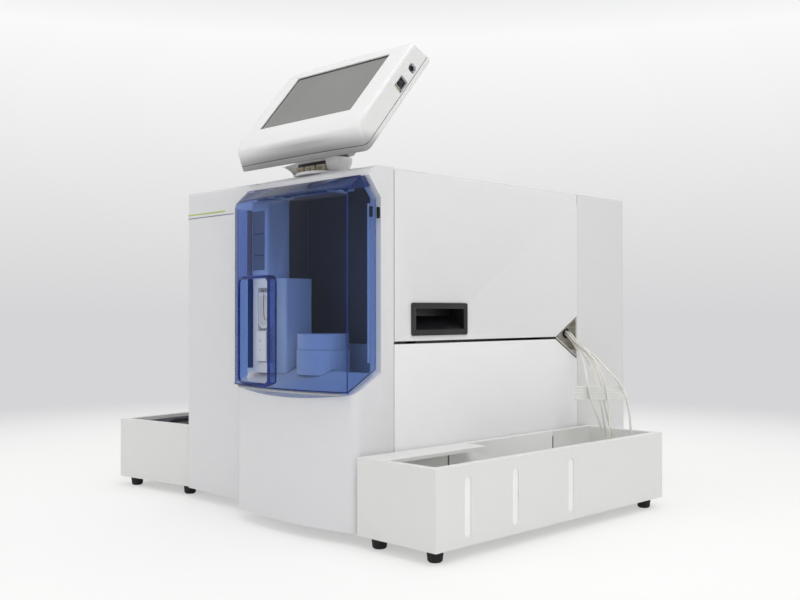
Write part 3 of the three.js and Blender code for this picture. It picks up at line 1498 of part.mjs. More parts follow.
const leftCaddy = new THREE.Group();
leftCaddy.position.set(-leftCaddyX, -leftCaddyY, 0);
leftCaddy.rotation.z = leftCaddyTurn;
machine.add(leftCaddy);
place(leftCaddy, "left_caddy_tray", tray(leftCaddyWidth), caddyPaint);
const insertEdge = caddyWall + insertGap;
const insertTop = caddyTop - insertDrop;
const insertLow = insertTop - insertThickness;
const insertHoleRadius = leftCaddyWidth / 2 - caddyWall - insertHoleMargin;
const insertLegs = [insertEdge, leftCaddyWidth - insertEdge - insertLeg].flatMap((x) => [
  insertEdge, caddyLength - insertEdge - insertLeg,
].map((y) => block(x, x + insertLeg, y, y + insertLeg, caddyBottom + caddyFloor + touchGap, insertTop)));
const insert = cut(
  join(
    block(
      insertEdge, leftCaddyWidth - insertEdge, insertEdge, caddyLength - insertEdge, insertLow, insertTop,
    ),
    ...insertLegs,
  ),
  ...insertHoleShares.map((share) => rod(
    "z", leftCaddyWidth / 2, caddyLength * share, insertHoleRadius, insertLow - cutOver, insertTop + cutOver,
  )),
);
place(leftCaddy, "left_caddy_insert", insert, darkFoam);
placeFeet(
  leftCaddy, "left_caddy_foot", caddyFootInset, leftCaddyWidth - caddyFootInset, caddyFootInset,
  caddyLength - caddyFootInset, caddyFoot,
);

// Free tubes and the clear band that keeps them together
const cords = new THREE.Group();
machine.add(cords);
for (const [name, route] of Object.entries(tubeRoutes)) {
  const path = new THREE.CatmullRomCurve3(
    route.map(([x, y, z]) => new THREE.Vector3(x, y, z)), false, "centripetal",
  );
  const section = new THREE.Shape(circle(0, 0, tubeRadius, tubeSides).map(
    ([a, b]) => new THREE.Vector2(a, b),
  ));
  const geometry = new THREE.ExtrudeGeometry(
    section, { steps: tubeSteps, extrudePath: path, bevelEnabled: false },
  );
  place(cords, name, toSolid(geometry), milkTube);
}

let band = block(
  -bandAhead, bandBehind, -bandThickness / 2, bandThickness / 2, -bandHeight / 2, bandHeight / 2,
);
for (let i = 0; i < bandRibCount; i++) {
  const z = bandHeight * ((i + 1) / (bandRibCount + 1) - 0.5);
  band = band.subtract(block(
    -bandAhead - cutOver, bandBehind + cutOver, -bandThickness, -bandThickness / 2 + bandRibDepth,
    z - bandRibHeight / 2, z + bandRibHeight / 2,
  ));
}
const bandPiece = place(cords, "tube_tie_band", band, bandClearPlastic);
bandPiece.position.set(...bandMiddle);
bandPiece.rotation.z = viewTurn;

// The whole stands on its feet, with the origin under the middle of everything but the free tubes
machine.updateMatrixWorld(true);
const extent = new THREE.Box3();
machine.traverse((piece) => {
  if (piece.isMesh && piece.parent !== cords) extent.expandByObject(piece, true);
});
machine.position.set(-(extent.min.x + extent.max.x) / 2, -(extent.min.y + extent.max.y) / 2, -extent.min.z);

export default machine;
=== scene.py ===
import json
import math

import bmesh
import bpy
from mathutils import Matrix, Vector

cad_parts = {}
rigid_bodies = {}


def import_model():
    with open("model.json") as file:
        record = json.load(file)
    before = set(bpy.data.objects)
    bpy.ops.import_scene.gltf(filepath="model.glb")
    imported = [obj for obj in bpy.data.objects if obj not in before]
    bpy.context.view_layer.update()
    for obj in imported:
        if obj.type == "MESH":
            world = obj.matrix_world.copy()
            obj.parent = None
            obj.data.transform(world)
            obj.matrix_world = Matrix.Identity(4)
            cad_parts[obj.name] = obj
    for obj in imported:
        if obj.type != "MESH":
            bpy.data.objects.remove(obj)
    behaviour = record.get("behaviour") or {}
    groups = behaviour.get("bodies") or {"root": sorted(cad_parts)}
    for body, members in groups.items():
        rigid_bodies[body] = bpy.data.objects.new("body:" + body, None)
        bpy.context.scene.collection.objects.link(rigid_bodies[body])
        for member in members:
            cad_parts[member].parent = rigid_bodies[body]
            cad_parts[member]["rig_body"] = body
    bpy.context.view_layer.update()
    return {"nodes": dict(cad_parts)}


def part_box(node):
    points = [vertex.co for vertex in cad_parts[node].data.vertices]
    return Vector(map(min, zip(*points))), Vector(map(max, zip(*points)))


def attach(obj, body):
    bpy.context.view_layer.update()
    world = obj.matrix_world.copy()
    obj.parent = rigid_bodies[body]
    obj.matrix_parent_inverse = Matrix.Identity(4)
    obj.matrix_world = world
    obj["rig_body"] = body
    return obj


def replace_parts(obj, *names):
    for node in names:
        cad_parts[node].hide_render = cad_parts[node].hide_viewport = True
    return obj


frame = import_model()
nodes = frame["nodes"]

# Places are written in millimetres from the right front corner of the body, and turned into metres
MM = 0.001
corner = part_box("front_bezel")[1]


def at(x, y, z):
    return Vector((corner.x + x * MM, corner.y + y * MM, z * MM))


def node_box(node):
    """The low and the high corner of a node's box, in millimetres."""
    return [((end.x - corner.x) / MM, (end.y - corner.y) / MM, end.z / MM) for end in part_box(node)]


def add_object(name, data):
    made = bpy.data.objects.new(name, data)
    bpy.context.scene.collection.objects.link(made)
    return made


# Camera: the photograph's eye point and direction, with its field of view
eye = at(727.8, -711.75, 234.39)
yaw = math.radians(45.275)
pitch = math.radians(0.713)
roll = math.radians(-0.044)
focal_pixels = 980.5
image_width = 800
sensor_width = 36
camera_data = bpy.data.cameras.new("camera")
camera_data.sensor_width = sensor_width
camera_data.lens = focal_pixels * sensor_width / image_width
camera = add_object("camera", camera_data)
ahead = Vector((-math.sin(yaw) * math.cos(pitch), math.cos(yaw) * math.cos(pitch), math.sin(pitch)))
level = Vector((math.cos(yaw), math.sin(yaw), 0))
above = level.cross(ahead)
sideways = level * math.cos(roll) + above * math.sin(roll)
upwards = above * math.cos(roll) - level * math.sin(roll)
camera.matrix_world = Matrix.Translation(eye) @ Matrix((sideways, upwards, -ahead)).transposed().to_4x4()
bpy.context.scene.camera = camera
bpy.context.scene.view_settings.view_transform = "Standard"


# Material building
def add_node(made, kind, values=None, **settings):
    node = made.node_tree.nodes.new(kind)
    for name, value in settings.items():
        setattr(node, name, value)
    set_values(node, values or {})
    return node


def set_values(node, values):
    for name, value in values.items():
        node.inputs[name].default_value = value


def link(made, source, target):
    made.node_tree.links.new(source, target)


def principled(made):
    return made.node_tree.nodes["Principled BSDF"]


def new_material(name, color, roughness, metallic=0.0, coat=0.0, specular=0.5):
    made = bpy.data.materials.new(name)
    made.use_nodes = True
    set_values(principled(made), {
        "Base Color": (*color, 1), "Roughness": roughness, "Metallic": metallic,
        "Coat Weight": coat, "Coat Roughness": 0.08, "Specular IOR Level": specular})
    return made


def math_node(made, operation, *terms, kind="ShaderNodeMath"):
    """A math node whose inputs are other sockets or plain values."""
    node = add_node(made, kind, operation=operation)
    for place, term in zip(node.inputs, terms):
        if isinstance(term, bpy.types.NodeSocket):
            link(made, term, place)
        else:
            place.default_value = term
    return node


def vector_node(made, operation, *terms):
    return math_node(made, operation, *terms, kind="ShaderNodeVectorMath")


def map_range(made, source, span, result, kind="LINEAR"):
    """The source's span of values, turned into the span of the result."""
    node = add_node(made, "ShaderNodeMapRange", {
        "From Min": span[0], "From Max": span[1], "To Min": result[0], "To Max": result[1],
    }, interpolation_type=kind)
    link(made, source, node.inputs["Value"])
    return node.outputs["Result"]


def mixed(made, share, first, second, output):
    """Two shaders mixed by a share, as what the output shows."""
    mix = add_node(made, "ShaderNodeMixShader")
    for source, target in zip((share, first, second), mix.inputs):
        link(made, source, target)
    link(made, mix.outputs[0], made.node_tree.nodes[output].inputs["Surface"])


def color_ramp(made, source, stops):
    ramp = add_node(made, "ShaderNodeValToRGB")
    elements = ramp.color_ramp.elements
    for i, (position, color) in enumerate(stops):
        stop = elements[i] if i < 2 else elements.new(position)
        stop.position = position
        stop.color = (*color, 1)
    link(made, source, ramp.inputs["Fac"])
    return ramp.outputs["Color"]


def noise(made, scale, detail, stretch):
    place = add_node(made, "ShaderNodeTexCoord")
    mapping = add_node(made, "ShaderNodeMapping", {"Scale": stretch})
    link(made, place.outputs["Object"], mapping.inputs["Vector"])
    texture = add_node(made, "ShaderNodeTexNoise", {"Scale": scale, "Detail": detail})
    link(made, mapping.outputs["Vector"], texture.inputs["Vector"])
    return texture.outputs["Fac"]


def vary_color(made, low, high, scale, detail=3.0, stretch=(1, 1, 1)):
    fleck_start, fleck_end = 0.35, 0.65
    tone = color_ramp(made, noise(made, scale, detail, stretch), ((fleck_start, low), (fleck_end, high)))
    link(made, tone, principled(made).inputs["Base Color"])


def vary_roughness(made, low, high, scale, stretch=(1, 1, 1)):
    noise_span = (0.3, 0.7)
    gloss = map_range(made, noise(made, scale, 4.0, stretch), noise_span, (low, high))
    link(made, gloss, principled(made).inputs["Roughness"])


def add_bump(made, scale, strength, distance, stretch=(1, 1, 1)):
    bump = add_node(made, "ShaderNodeBump", {"Strength": strength, "Distance": distance})
    link(made, noise(made, scale, 2.0, stretch), bump.inputs["Height"])
    link(made, bump.outputs["Normal"], principled(made).inputs["Normal"])


def linear_light(value):
    """Linear light from a picture level of 0 to 255."""
    share = value / 255
    return share / 12.92 if share <= 0.04045 else ((share + 0.055) / 1.055) ** 2.4


def rgb(red, green, blue):
    return (linear_light(red), linear_light(green), linear_light(blue))


def painted(name, low, high, roughness):
    made = new_material(name, high, roughness, coat=0.35)
    vary_color(made, low, high, scale=45, detail=2.0)
    vary_roughness(made, roughness - 0.01, roughness + 0.02, scale=30)
    add_bump(made, scale=1400, strength=0.05, distance=0.0002)
    return made


def moulded(name, low, high, roughness, grain=2600, depth=0.12):
    made = new_material(name, high, roughness)
    vary_color(made, low, high, scale=60, detail=2.0)
    vary_roughness(made, roughness - 0.02, roughness + 0.02, scale=40)
    add_bump(made, grain, depth, distance=0.0001)
    return made


def metal(name, low, high, roughness, stretch, metallic=1.0):
    made = new_material(name, high, roughness, metallic)
    vary_color(made, low, high, scale=40, stretch=stretch)
    vary_roughness(made, roughness - 0.08, roughness + 0.1, scale=60, stretch=stretch)
    add_bump(made, scale=900, strength=0.12, distance=0.00008, stretch=stretch)
    return made


def clear_material(name, roughness, ior, absorbed, density):
    """Clear plastic that takes its colour from its thickness and throws no dark shadow."""
    made = new_material(name, (1, 1, 1), roughness)
    shader = principled(made)
    set_values(shader, {"Transmission Weight": 1, "IOR": ior})
    passing = add_node(made, "ShaderNodeBsdfTransparent", {"Color": (1, 1, 1, 1)})
    path = add_node(made, "ShaderNodeLightPath")
    mixed(made, path.outputs["Is Shadow Ray"], shader.outputs[0], passing.outputs[0], "Material Output")
    volume = add_node(made, "ShaderNodeVolumeAbsorption", {"Color": (*absorbed, 1), "Density": density})
    link(made, volume.outputs[0], made.node_tree.nodes["Material Output"].inputs["Volume"])
    return made


def milky_material(name, color, transmission, roughness):
    dim_share = 0.93
    made = new_material(name, color, roughness)
    set_values(principled(made), {"Transmission Weight": transmission, "IOR": 1.4})
    vary_color(made, tuple(part * dim_share for part in color), color, scale=60)
    add_bump(made, scale=700, strength=0.05, distance=0.0001)
    return made


# Materials
paint = painted("panel_paint", rgb(232, 232, 233), rgb(233, 233, 234), 0.24)
# The lower side panel's paint is lighter than the door's: painted light for the brighter lower part of the
# side
lit_lower_paint = painted("lower_panel_paint_lit", rgb(248, 248, 249), rgb(249, 249, 250), 0.24)
# The rear cover's paint is darker than the side panels': painted shade on the rear cover
shaded_cover_paint = painted("rear_cover_paint_shaded", rgb(222, 222, 222), rgb(223, 223, 223), 0.24)
bezel_white = moulded("bezel_moulding", rgb(227, 227, 229), rgb(228, 228, 230), 0.3, 1900, 0.05)
screen_white = moulded("screen_housing", rgb(242, 242, 241), rgb(243, 243, 242), 0.3, 2200, 0.08)
caddy_white = moulded("caddy_sheet", rgb(230, 230, 228), rgb(231, 231, 229), 0.36, 1500, 0.06)
liner_white = moulded("chamber_moulding", rgb(223, 225, 229), rgb(225, 227, 231), 0.42)
black_plastic = moulded("black_moulding", rgb(20, 20, 22), rgb(30, 30, 33), 0.38, 1800, 0.25)
# Painted shade for the band under the hood's slope
slope_shade_grey = moulded("slope_shade_grey", rgb(92, 95, 108), rgb(95, 98, 111), 0.55)
dark_sheet = moulded("dark_sheet", rgb(69, 66, 73), rgb(72, 69, 76), 0.6, 1200, 0.04)
dark_foam = moulded("dark_foam", rgb(44, 46, 54), rgb(62, 64, 72), 0.92, 1600, 0.9)
rubber = moulded("foot_rubber", rgb(18, 18, 19), rgb(30, 30, 30), 0.8, 1500, 0.4)
beige_plastic = moulded("pump_plastic", rgb(205, 196, 172), rgb(216, 208, 186), 0.45)
board_green = moulded("board_laminate", rgb(24, 88, 52), rgb(34, 108, 66), 0.42)
# Painted darkening for the edges of the clear hood
painted_edge_blue = moulded("hood_edge", rgb(20, 52, 122), rgb(28, 62, 136), 0.35)
# Painted shade for the rest under the hood's lower edge
grey_foam = moulded("rest_painted_shade", rgb(168, 169, 172), rgb(180, 181, 184), 0.9, 1600, 0.6)
# Painted shade for the strip behind the hood's bend
lip_shade_grey = moulded("lip_shade_grey", rgb(96, 104, 134), rgb(104, 112, 142), 0.8)
# Painted shadow for the gap beside the sampler column
gap_shadow_grey = moulded("gap_shadow_strip", rgb(48, 72, 122), rgb(52, 76, 128), 0.8)
rail_grey = moulded("slide_rail", rgb(112, 117, 128), rgb(117, 122, 133), 0.4)
plate_grey = moulded("sampler_plate", rgb(205, 206, 205), rgb(212, 213, 212), 0.35)
line_green = moulded("line_green", rgb(176, 194, 92), rgb(184, 202, 100), 0.4)
line_blue = moulded("line_blue", rgb(96, 104, 140), rgb(104, 112, 148), 0.4)
frosted = moulded("frosted_strip", rgb(246, 246, 244), rgb(250, 250, 249), 0.3)
zinc = metal("notch_zinc", rgb(164, 160, 149), rgb(188, 184, 174), 0.5, (1, 1, 9), 0.35)
steel = metal("bright_steel", rgb(176, 178, 181), rgb(198, 200, 203), 0.38, (1, 7, 1))
screen_glass = new_material("screen_glass", rgb(124, 123, 120), 0.12, specular=0.55)
vary_color(screen_glass, rgb(144, 143, 139), rgb(151, 150, 146), scale=5)
vary_roughness(screen_glass, 0.1, 0.17, scale=24)
hood_blue = clear_material("hood_blue", 0.03, 1.27, (0.08, 0.37, 0.815), 308)
milky_tube = milky_material("milky_tube", rgb(254, 252, 244), 0.25, 0.2)
clear_band = milky_material("clear_band", rgb(253, 253, 249), 0.3, 0.22)


# Mesh building in millimetres
def new_mesh(name, points, faces):
    mesh = bpy.data.meshes.new(name)
    mesh.from_pydata([at(*point) for point in points], [], faces)
    shape = bmesh.new()
    shape.from_mesh(mesh)
    bmesh.ops.remove_doubles(shape, verts=shape.verts, dist=0.00001)
    bmesh.ops.recalc_face_normals(shape, faces=shape.faces)
    shape.to_mesh(mesh)
    shape.free()
    return mesh


def loft(name, rings, open_ends=False):
    """A closed skin through rings that all have the same number of points."""
    count = len(rings[0])
    points = [point for ring in rings for point in ring]
    faces = []
    for i in range(len(rings) - 1):
        for k in range(count):
            after = (k + 1) % count
            faces.append((i * count + k, i * count + after, (i + 1) * count + after, (i + 1) * count + k))
    if not open_ends:
        faces.append(tuple(range(count)))
        faces.append(tuple((len(rings) - 1) * count + k for k in reversed(range(count))))
    return new_mesh(name, points, faces)


def combined(target, others, operation):
    """The target mesh with the other meshes cut away, added, or kept in common."""
    holder = add_object("holder", target)
    helpers = []
    for other in others:
        helper = add_object("helper", other)
        helpers.append(helper)
        change = holder.modifiers.new("change", "BOOLEAN")
        change.operation = operation
        change.solver = "EXACT"
        change.object = helper
    graph = bpy.context.evaluated_depsgraph_get()
    result = bpy.data.meshes.new_from_object(holder.evaluated_get(graph))
    for used in [holder, *helpers]:
        bpy.data.objects.remove(used)
    return result


def arc(center, radius, start, end, steps):
    """Points of an arc, with its angles in degrees."""
    turn = [math.radians(start + (end - start) * k / steps) for k in range(steps + 1)]
    return [(center[0] + radius * math.cos(a), center[1] + radius * math.sin(a)) for a in turn]


def rounded_box_outline(a0, a1, b0, b1, radius, steps=6):
    return (arc((a1 - radius, b1 - radius), radius, 0, 90, steps)
            + arc((a0 + radius, b1 - radius), radius, 90, 180, steps)
            + arc((a0 + radius, b0 + radius), radius, 180, 270, steps)
            + arc((a1 - radius, b0 + radius), radius, 270, 360, steps))


def crossbar(name, outline, stops):
    """A bar from side to side, with its outline seen from the side."""
    return loft(name, [[(x, y, z) for y, z in outline] for x in stops])


def pipe(name, line, radius, sides=8, closed=False):
    """A round bar that follows a line of points in millimetres."""
    path = [Vector(point) for point in line]
    rings = []
    count = len(path)
    least_side = 0.2
    for i, point in enumerate(path):
        if closed:
            along = path[(i + 1) % count] - path[i - 1]
        else:
            along = path[min(i + 1, count - 1)] - path[max(i - 1, 0)]
        along.normalize()
        side = along.cross(Vector((0, 0, 1)))
        if side.length < least_side:
            side = along.cross(Vector((0, 1, 0)))
        side.normalize()
        up = side.cross(along)
        ring = []
        for k in range(sides):
            turn = 2 * math.pi * k / sides
            ring.append(tuple(point + side * math.cos(turn) * radius + up * math.sin(turn) * radius))
        rings.append(ring)
    if closed:
        rings.append(rings[0])
    return loft(name, rings, open_ends=closed)


def catmull_point(before, start, end, after, share):
    """A point of the centripetal Catmull-Rom curve through four route points."""
    least_reach = 1e-6
    reach = [math.sqrt((b - a).length) for a, b in ((before, start), (start, end), (end, after))]
    reach = [max(step, least_reach) for step in reach]
    leave = ((start - before) / reach[0] - (end - before) / (reach[0] + reach[1]) + (end - start) / reach[1])
    arrive = ((end - start) / reach[1] - (after - start) / (reach[1] + reach[2]) + (after - end) / reach[2])
    leave *= reach[1]
    arrive *= reach[1]
    square = share * share
    cube = square * share
    return (start * (2 * cube - 3 * square + 1) + leave * (cube - 2 * square + share)
            + end * (3 * square - 2 * cube) + arrive * (cube - square))


def smooth_route(points, steps=8):
    ends = [points[0] * 2 - points[1], *points, points[-1] * 2 - points[-2]]
    line = []
    for i in range(len(points) - 1):
        line += [catmull_point(*ends[i:i + 4], step / steps) for step in range(steps)]
    return line + [points[-1]]


# Finished pieces: each rides on the body of a node, and some of them replace that node's plain solid
def link_piece(name, data, finish, carrier):
    piece = add_object(name, data)
    data.materials.clear()
    data.materials.append(finish)
    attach(piece, nodes[carrier]["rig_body"])
    return piece


def round_edges(piece, width, degrees):
    bevel = piece.modifiers.new("edges", "BEVEL")
    bevel.width = width * MM
    bevel.segments = 2
    bevel.limit_method = "ANGLE"
    bevel.angle_limit = math.radians(degrees)
    bevel.harden_normals = True
    bevel.use_clamp_overlap = True
    bevel.miter_outer = "MITER_ARC"


def piece_from(name, mesh, finish, carrier, degrees=30, bevel=0.0):
    """A piece that is smooth up to an angle between its faces, with its sharper edges rounded."""
    mesh.shade_smooth()
    mesh.set_sharp_from_angle(angle=math.radians(degrees))
    piece = link_piece(name, mesh, finish, carrier)
    if bevel:
        round_edges(piece, bevel, degrees)
    return piece


def replace_node(node, mesh, finish, degrees=32, bevel=0.0):
    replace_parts(piece_from(node + "_skin", mesh, finish, node, degrees, bevel), node)


def node_mesh(node):
    """The node's mesh with its corners shared and its flat faces whole."""
    flat_degrees = 0.6
    most_corners = 6
    shape = bmesh.new()
    shape.from_mesh(nodes[node].data)
    bmesh.ops.remove_doubles(shape, verts=shape.verts, dist=0.00002)
    bmesh.ops.dissolve_limit(
        shape, angle_limit=math.radians(flat_degrees), verts=shape.verts, edges=shape.edges)
    many_sided = [face for face in shape.faces if len(face.verts) > most_corners]
    bmesh.ops.triangulate(shape, faces=many_sided)
    bmesh.ops.recalc_face_normals(shape, faces=shape.faces)
    mesh = bpy.data.meshes.new(node)
    shape.to_mesh(mesh)
    shape.free()
    return mesh


# Rigid pieces that keep their node's shape: the finish of each and the width of its rounded edges
finishes = {
    "panel": (paint, "painted_panel"),
    "lower": (lit_lower_paint, "painted_panel"),
    "cover": (shaded_cover_paint, "painted_panel"),
    "bezel": (bezel_white, "white_moulding"),
    "screen": (screen_white, "screen_housing"),
    "caddy": (caddy_white, "caddy_white"),
    "liner": (liner_white, "chamber_light"),
    "black": (black_plastic, "black_plastic"),
    "dark": (dark_sheet, "dark_panel"),
    "foam": (dark_foam, "grey_foam"),
    "rubber": (rubber, "black_rubber"),
    "zinc": (zinc, "bright_metal"),
    "steel": (steel, "bright_metal"),
    "beige": (beige_plastic, "pump_beige"),
    "board": (board_green, "circuit_board"),
}
dressed = {
    "panel": {"left_side_panel": 0.9, "top_cover": 0.6, "side_door": 0.9},
    "lower": {"lower_side_panel": 0.9},
    "cover": {"rear_cover": 0.9},
    "bezel": {"front_bezel": 0.8, "monitor_socket": 0.6},
    "caddy": {"right_caddy_tray": 0.7, "right_caddy_cover": 0.5, "left_caddy_tray": 0.7},
    "liner": {"chamber_liner": 0.5, "sampler_column": 0.8, "sipper_carriage": 0.5, "sensor_module": 0.8,
              "carousel_base": 0.5, "sample_carousel": 0.3},
    "black": {"door_handle_cup": 0.6, "fan_frame": 0.6, "fan_rotor": 0.3, "power_inlet": 0.5,
              "power_rocker": 0.4, "pump_rotor_1": 0.3, "pump_rotor_2": 0.3},
    "dark": {"chamber_back_panel": 0.5},
    "foam": {"left_caddy_insert": 0.6},
    "rubber": {"tube_grommet": 0.3, **{node: 0.5 for node in nodes if "foot_" in node}},
    "zinc": {"tube_notch_lining": 0.3},
    "steel": {"base_pan": 0.5, "door_hinge_rod": 0, "sipper_needle": 0, "pump_panel": 0.4,
              "power_supply": 0.5},
    "beige": {"pump_body_1": 0.6, "pump_body_2": 0.6, "valve_block": 0.6},
    "board": {"main_board": 0.2},
}
for kind, widths in dressed.items():
    finish, slot = finishes[kind]
    for node, width in widths.items():
        replace_node(node, node_mesh(node), finish, bevel=width)


# Hood: a bulging front with a soft bend above it, two side walls and an open back
hood_left, hood_right = -196.5, -3.0
hood_front, hood_bulge = -62.0, 13.0
hood_low, hood_back_low, hood_back_high, hood_back = 153.2, 175.8, 350.0, -23.0
hood_crease, hood_peak_y, hood_peak_z = 356.8, -44.0, 373.4
hood_wall = 2.5
bend_radius = 12.0
bend_steps = 8
crease_fall_share, crease_lift_share, peak_back_share, peak_fall_share = 0.9, 0.6, 0.4, 1.15
cut_past_peak, cut_below, cut_behind, cut_above, cut_under_back = 5, 6.0, 6, 1, 12


def hood_ring(x, inset, open_back=False):
    """The hood's section at x. The cutter for its inside runs out past its back and its lower edge."""
    half = (hood_right - hood_left) / 2
    share = (x - (hood_left + hood_right) / 2) / half
    front = hood_front - hood_bulge * max(0.0, 1 - share * share) + inset
    slope = math.atan2(hood_peak_z - hood_crease, hood_peak_y - front + inset)
    lower = inset / math.cos(slope) * crease_fall_share
    crease = Vector((front, hood_crease - lower + inset * crease_lift_share))
    bend = math.pi / 2 - slope
    radius = bend_radius - inset
    center = crease + Vector((radius, -radius * math.tan(bend / 2)))
    curve = arc(center, radius, 180, 180 - math.degrees(bend), bend_steps)
    peak = Vector((hood_peak_y, hood_peak_z)) + Vector((inset * peak_back_share, -inset * peak_fall_share))
    if open_back:
        low = hood_low - cut_below
        tail = [(hood_peak_y + cut_past_peak, hood_peak_z + inset),
                (hood_back + cut_behind, hood_back_high + cut_above),
                (hood_back + cut_behind, hood_back_low - cut_under_back)]
    else:
        low = hood_low
        tail = [(hood_back, hood_back_high), (hood_back, hood_back_low)]
    return [(x, y, z) for y, z in [(front, low), *curve, tuple(peak), *tail]]


def hood_solid(name, left, right, inset, edge_radius, open_back):
    rings = []
    edge_steps = 5
    for k in range(edge_steps):
        turn = math.pi / 2 * k / edge_steps
        x = left + edge_radius * (1 - math.cos(turn))
        rings.append(hood_ring(x, inset + edge_radius * (1 - math.sin(turn)), open_back))
    columns = 26
    for k in range(columns + 1):
        x = left + edge_radius + (right - left - edge_radius) * k / columns
        rings.append(hood_ring(x, inset, open_back))
    return loft(name, rings)


window_left, window_right, window_low, window_high = -183.1, -117.8, 158.0, 271.0
window_back = -63.5


def window_outline(grow, radius):
    return rounded_box_outline(
        window_left - grow, window_right + grow, window_low - grow, window_high + grow, radius)


def window_block(name, grow, front, back, radius):
    return loft(name, [[(x, y, z) for x, z in window_outline(grow, radius)] for y in (front, back)])


hood_outer = hood_solid("hood_outer", hood_left, hood_right, 0, 4.0, False)
hood_inner = hood_solid("hood_inner", hood_left + hood_wall, hood_right - hood_wall, hood_wall, 2.0, True)
hood_shell = combined(hood_outer.copy(), [hood_inner], "DIFFERENCE")
hood_frame = combined(window_block("window_frame", 3.6, -90, window_back, 8), [hood_outer], "INTERSECT")
hood_shell = combined(hood_shell, [hood_frame], "UNION")
hood_shell = combined(hood_shell, [window_block("window_hole", 0, -95, -30, 5)], "DIFFERENCE")
replace_node("hood", hood_shell, hood_blue, 24)

# Hood fittings: its hinge rod, dark lines along its edges as painted darkening for how the clear plastic's
# edges look in the light, and a grey band under its slope as painted shade
rod_low, rod_high = node_box("hood_hinge_rod")
rod_y, rod_z = (rod_low[1] + rod_high[1]) / 2, (rod_low[2] + rod_high[2]) / 2
rod_end = 2
rod_stops = (rod_low[0], rod_low[0] + rod_end, rod_high[0] - rod_end, rod_high[0])
rod_mesh = pipe("hood_rod", [(x, rod_y, rod_z) for x in rod_stops], 2.1, 14)
replace_node("hood_hinge_rod", rod_mesh, black_plastic, 40, 0.3)


def hood_front_at(x):
    return hood_ring(x, 0)[0][1]


def spread_across(margin):
    """Places from one side of the hood to the other."""
    spans = 24
    width = hood_right - hood_left - 2 * margin
    return [hood_left + margin + width * k / spans for k in range(spans + 1)]


spread = spread_across(0.8)
edge_half = 0.5
left_ring, right_ring = hood_ring(hood_left + 0.6, 0), hood_ring(hood_right, edge_half)
right_rim = (right_ring[0], *right_ring[:-4:-1])
# Painted darkening: dark blue lines stand in for the dark look of the clear plastic's edges and window rims
edge_lines = {
    "bottom": ([(x, hood_front_at(x) + edge_half, hood_low + edge_half) for x in spread], edge_half),
    "left": ([(x, y + 4.3, z - 0.3) for x, y, z in left_ring[:-4]], edge_half),
    "right": ([(x - edge_half, y - 0.2, z) for x, y, z in right_rim], edge_half),
    "top": ([(x, hood_peak_y + 0.4, hood_peak_z - 0.7) for x in spread], edge_half),
    "corner": ([(x - 1.3, y + 0.7, z - 0.3) for x, y, z in right_ring[:-2]], edge_half),
    "window": ([(x, hood_front_at(x) + 0.7, z) for x, z in window_outline(1.6, 6.5)], 0.75),
    "window_back": ([(x, window_back - 0.6, z) for x, z in window_outline(1.8, 6.5)], 0.55),
}
for edge, (line, radius) in edge_lines.items():
    name = "hood_edge_" + edge
    edge_mesh = pipe(name, line, radius, closed=edge.startswith("window"))
    piece_from(name, edge_mesh, painted_edge_blue, "hood", 40)


def between(start, end, share):
    return [a + (b - a) * share for a, b in zip(start, end)]


# Painted shade: a grey band just inside the slope darkens it and hides the white hinge ears behind it
band_low, band_high, band_start, band_end = 2.8, 3.4, 0.06, 0.9
slope_foot, slope_top = bend_steps + 1, bend_steps + 2
band_rings = []
for x in spread_across(3.2):
    upper, lower = hood_ring(x, band_low), hood_ring(x, band_high)
    stops = ((upper, band_start), (upper, band_end), (lower, band_end), (lower, band_start))
    band_rings.append([between(line[slope_foot], line[slope_top], share) for line, share in stops])
piece_from("hood_slope_band", loft("hood_slope_band", band_rings), slope_shade_grey, "hood", 40)

# Screen unit: its front frame, rear shell, glass and ports follow one set of sections
unit_x, unit_y, unit_z = -107.0, 4.0, 413.0
unit_lean = math.radians(40)
unit_ahead = 49.3
frame_proud, frame_depth, unit_depth = 0.8, 21.5, 28.0
flank_left, flank_right, unit_low, unit_high = -102.1, 108.9, -22.8, 101.2
side_growth, low_growth, high_growth = 1.5, 16.5, 6
side_fillet, low_fillet, unit_corner, least_corner = 3.6, 6.5, 7.0, 3.5
lip_reach, chin_drop = 5.5, 2
top_arch, top_drop, hollow_rise, front_sag = 3.4, 1.2, 2.4, 1.2
lean_sine, lean_cosine = math.sin(unit_lean), math.cos(unit_lean)


def unit_point(x, depth, z):
    y = depth - unit_ahead
    return (unit_x + x, unit_y + y * lean_cosine + z * lean_sine, unit_z - y * lean_sine + z * lean_cosine)


def eased(value, start, end):
    share = min(1.0, max(0.0, (value - start) / (end - start)))
    return share * share * (3 - 2 * share)


def fillet_inset(depth, radius):
    into = depth + frame_proud
    if into >= radius:
        return 0.0
    return radius - math.sqrt(radius * radius - (radius - into) ** 2)


def divided(start, end, spans):
    """The points between two points of an outline."""
    return [between(start, end, k / spans) for k in range(1, spans)]


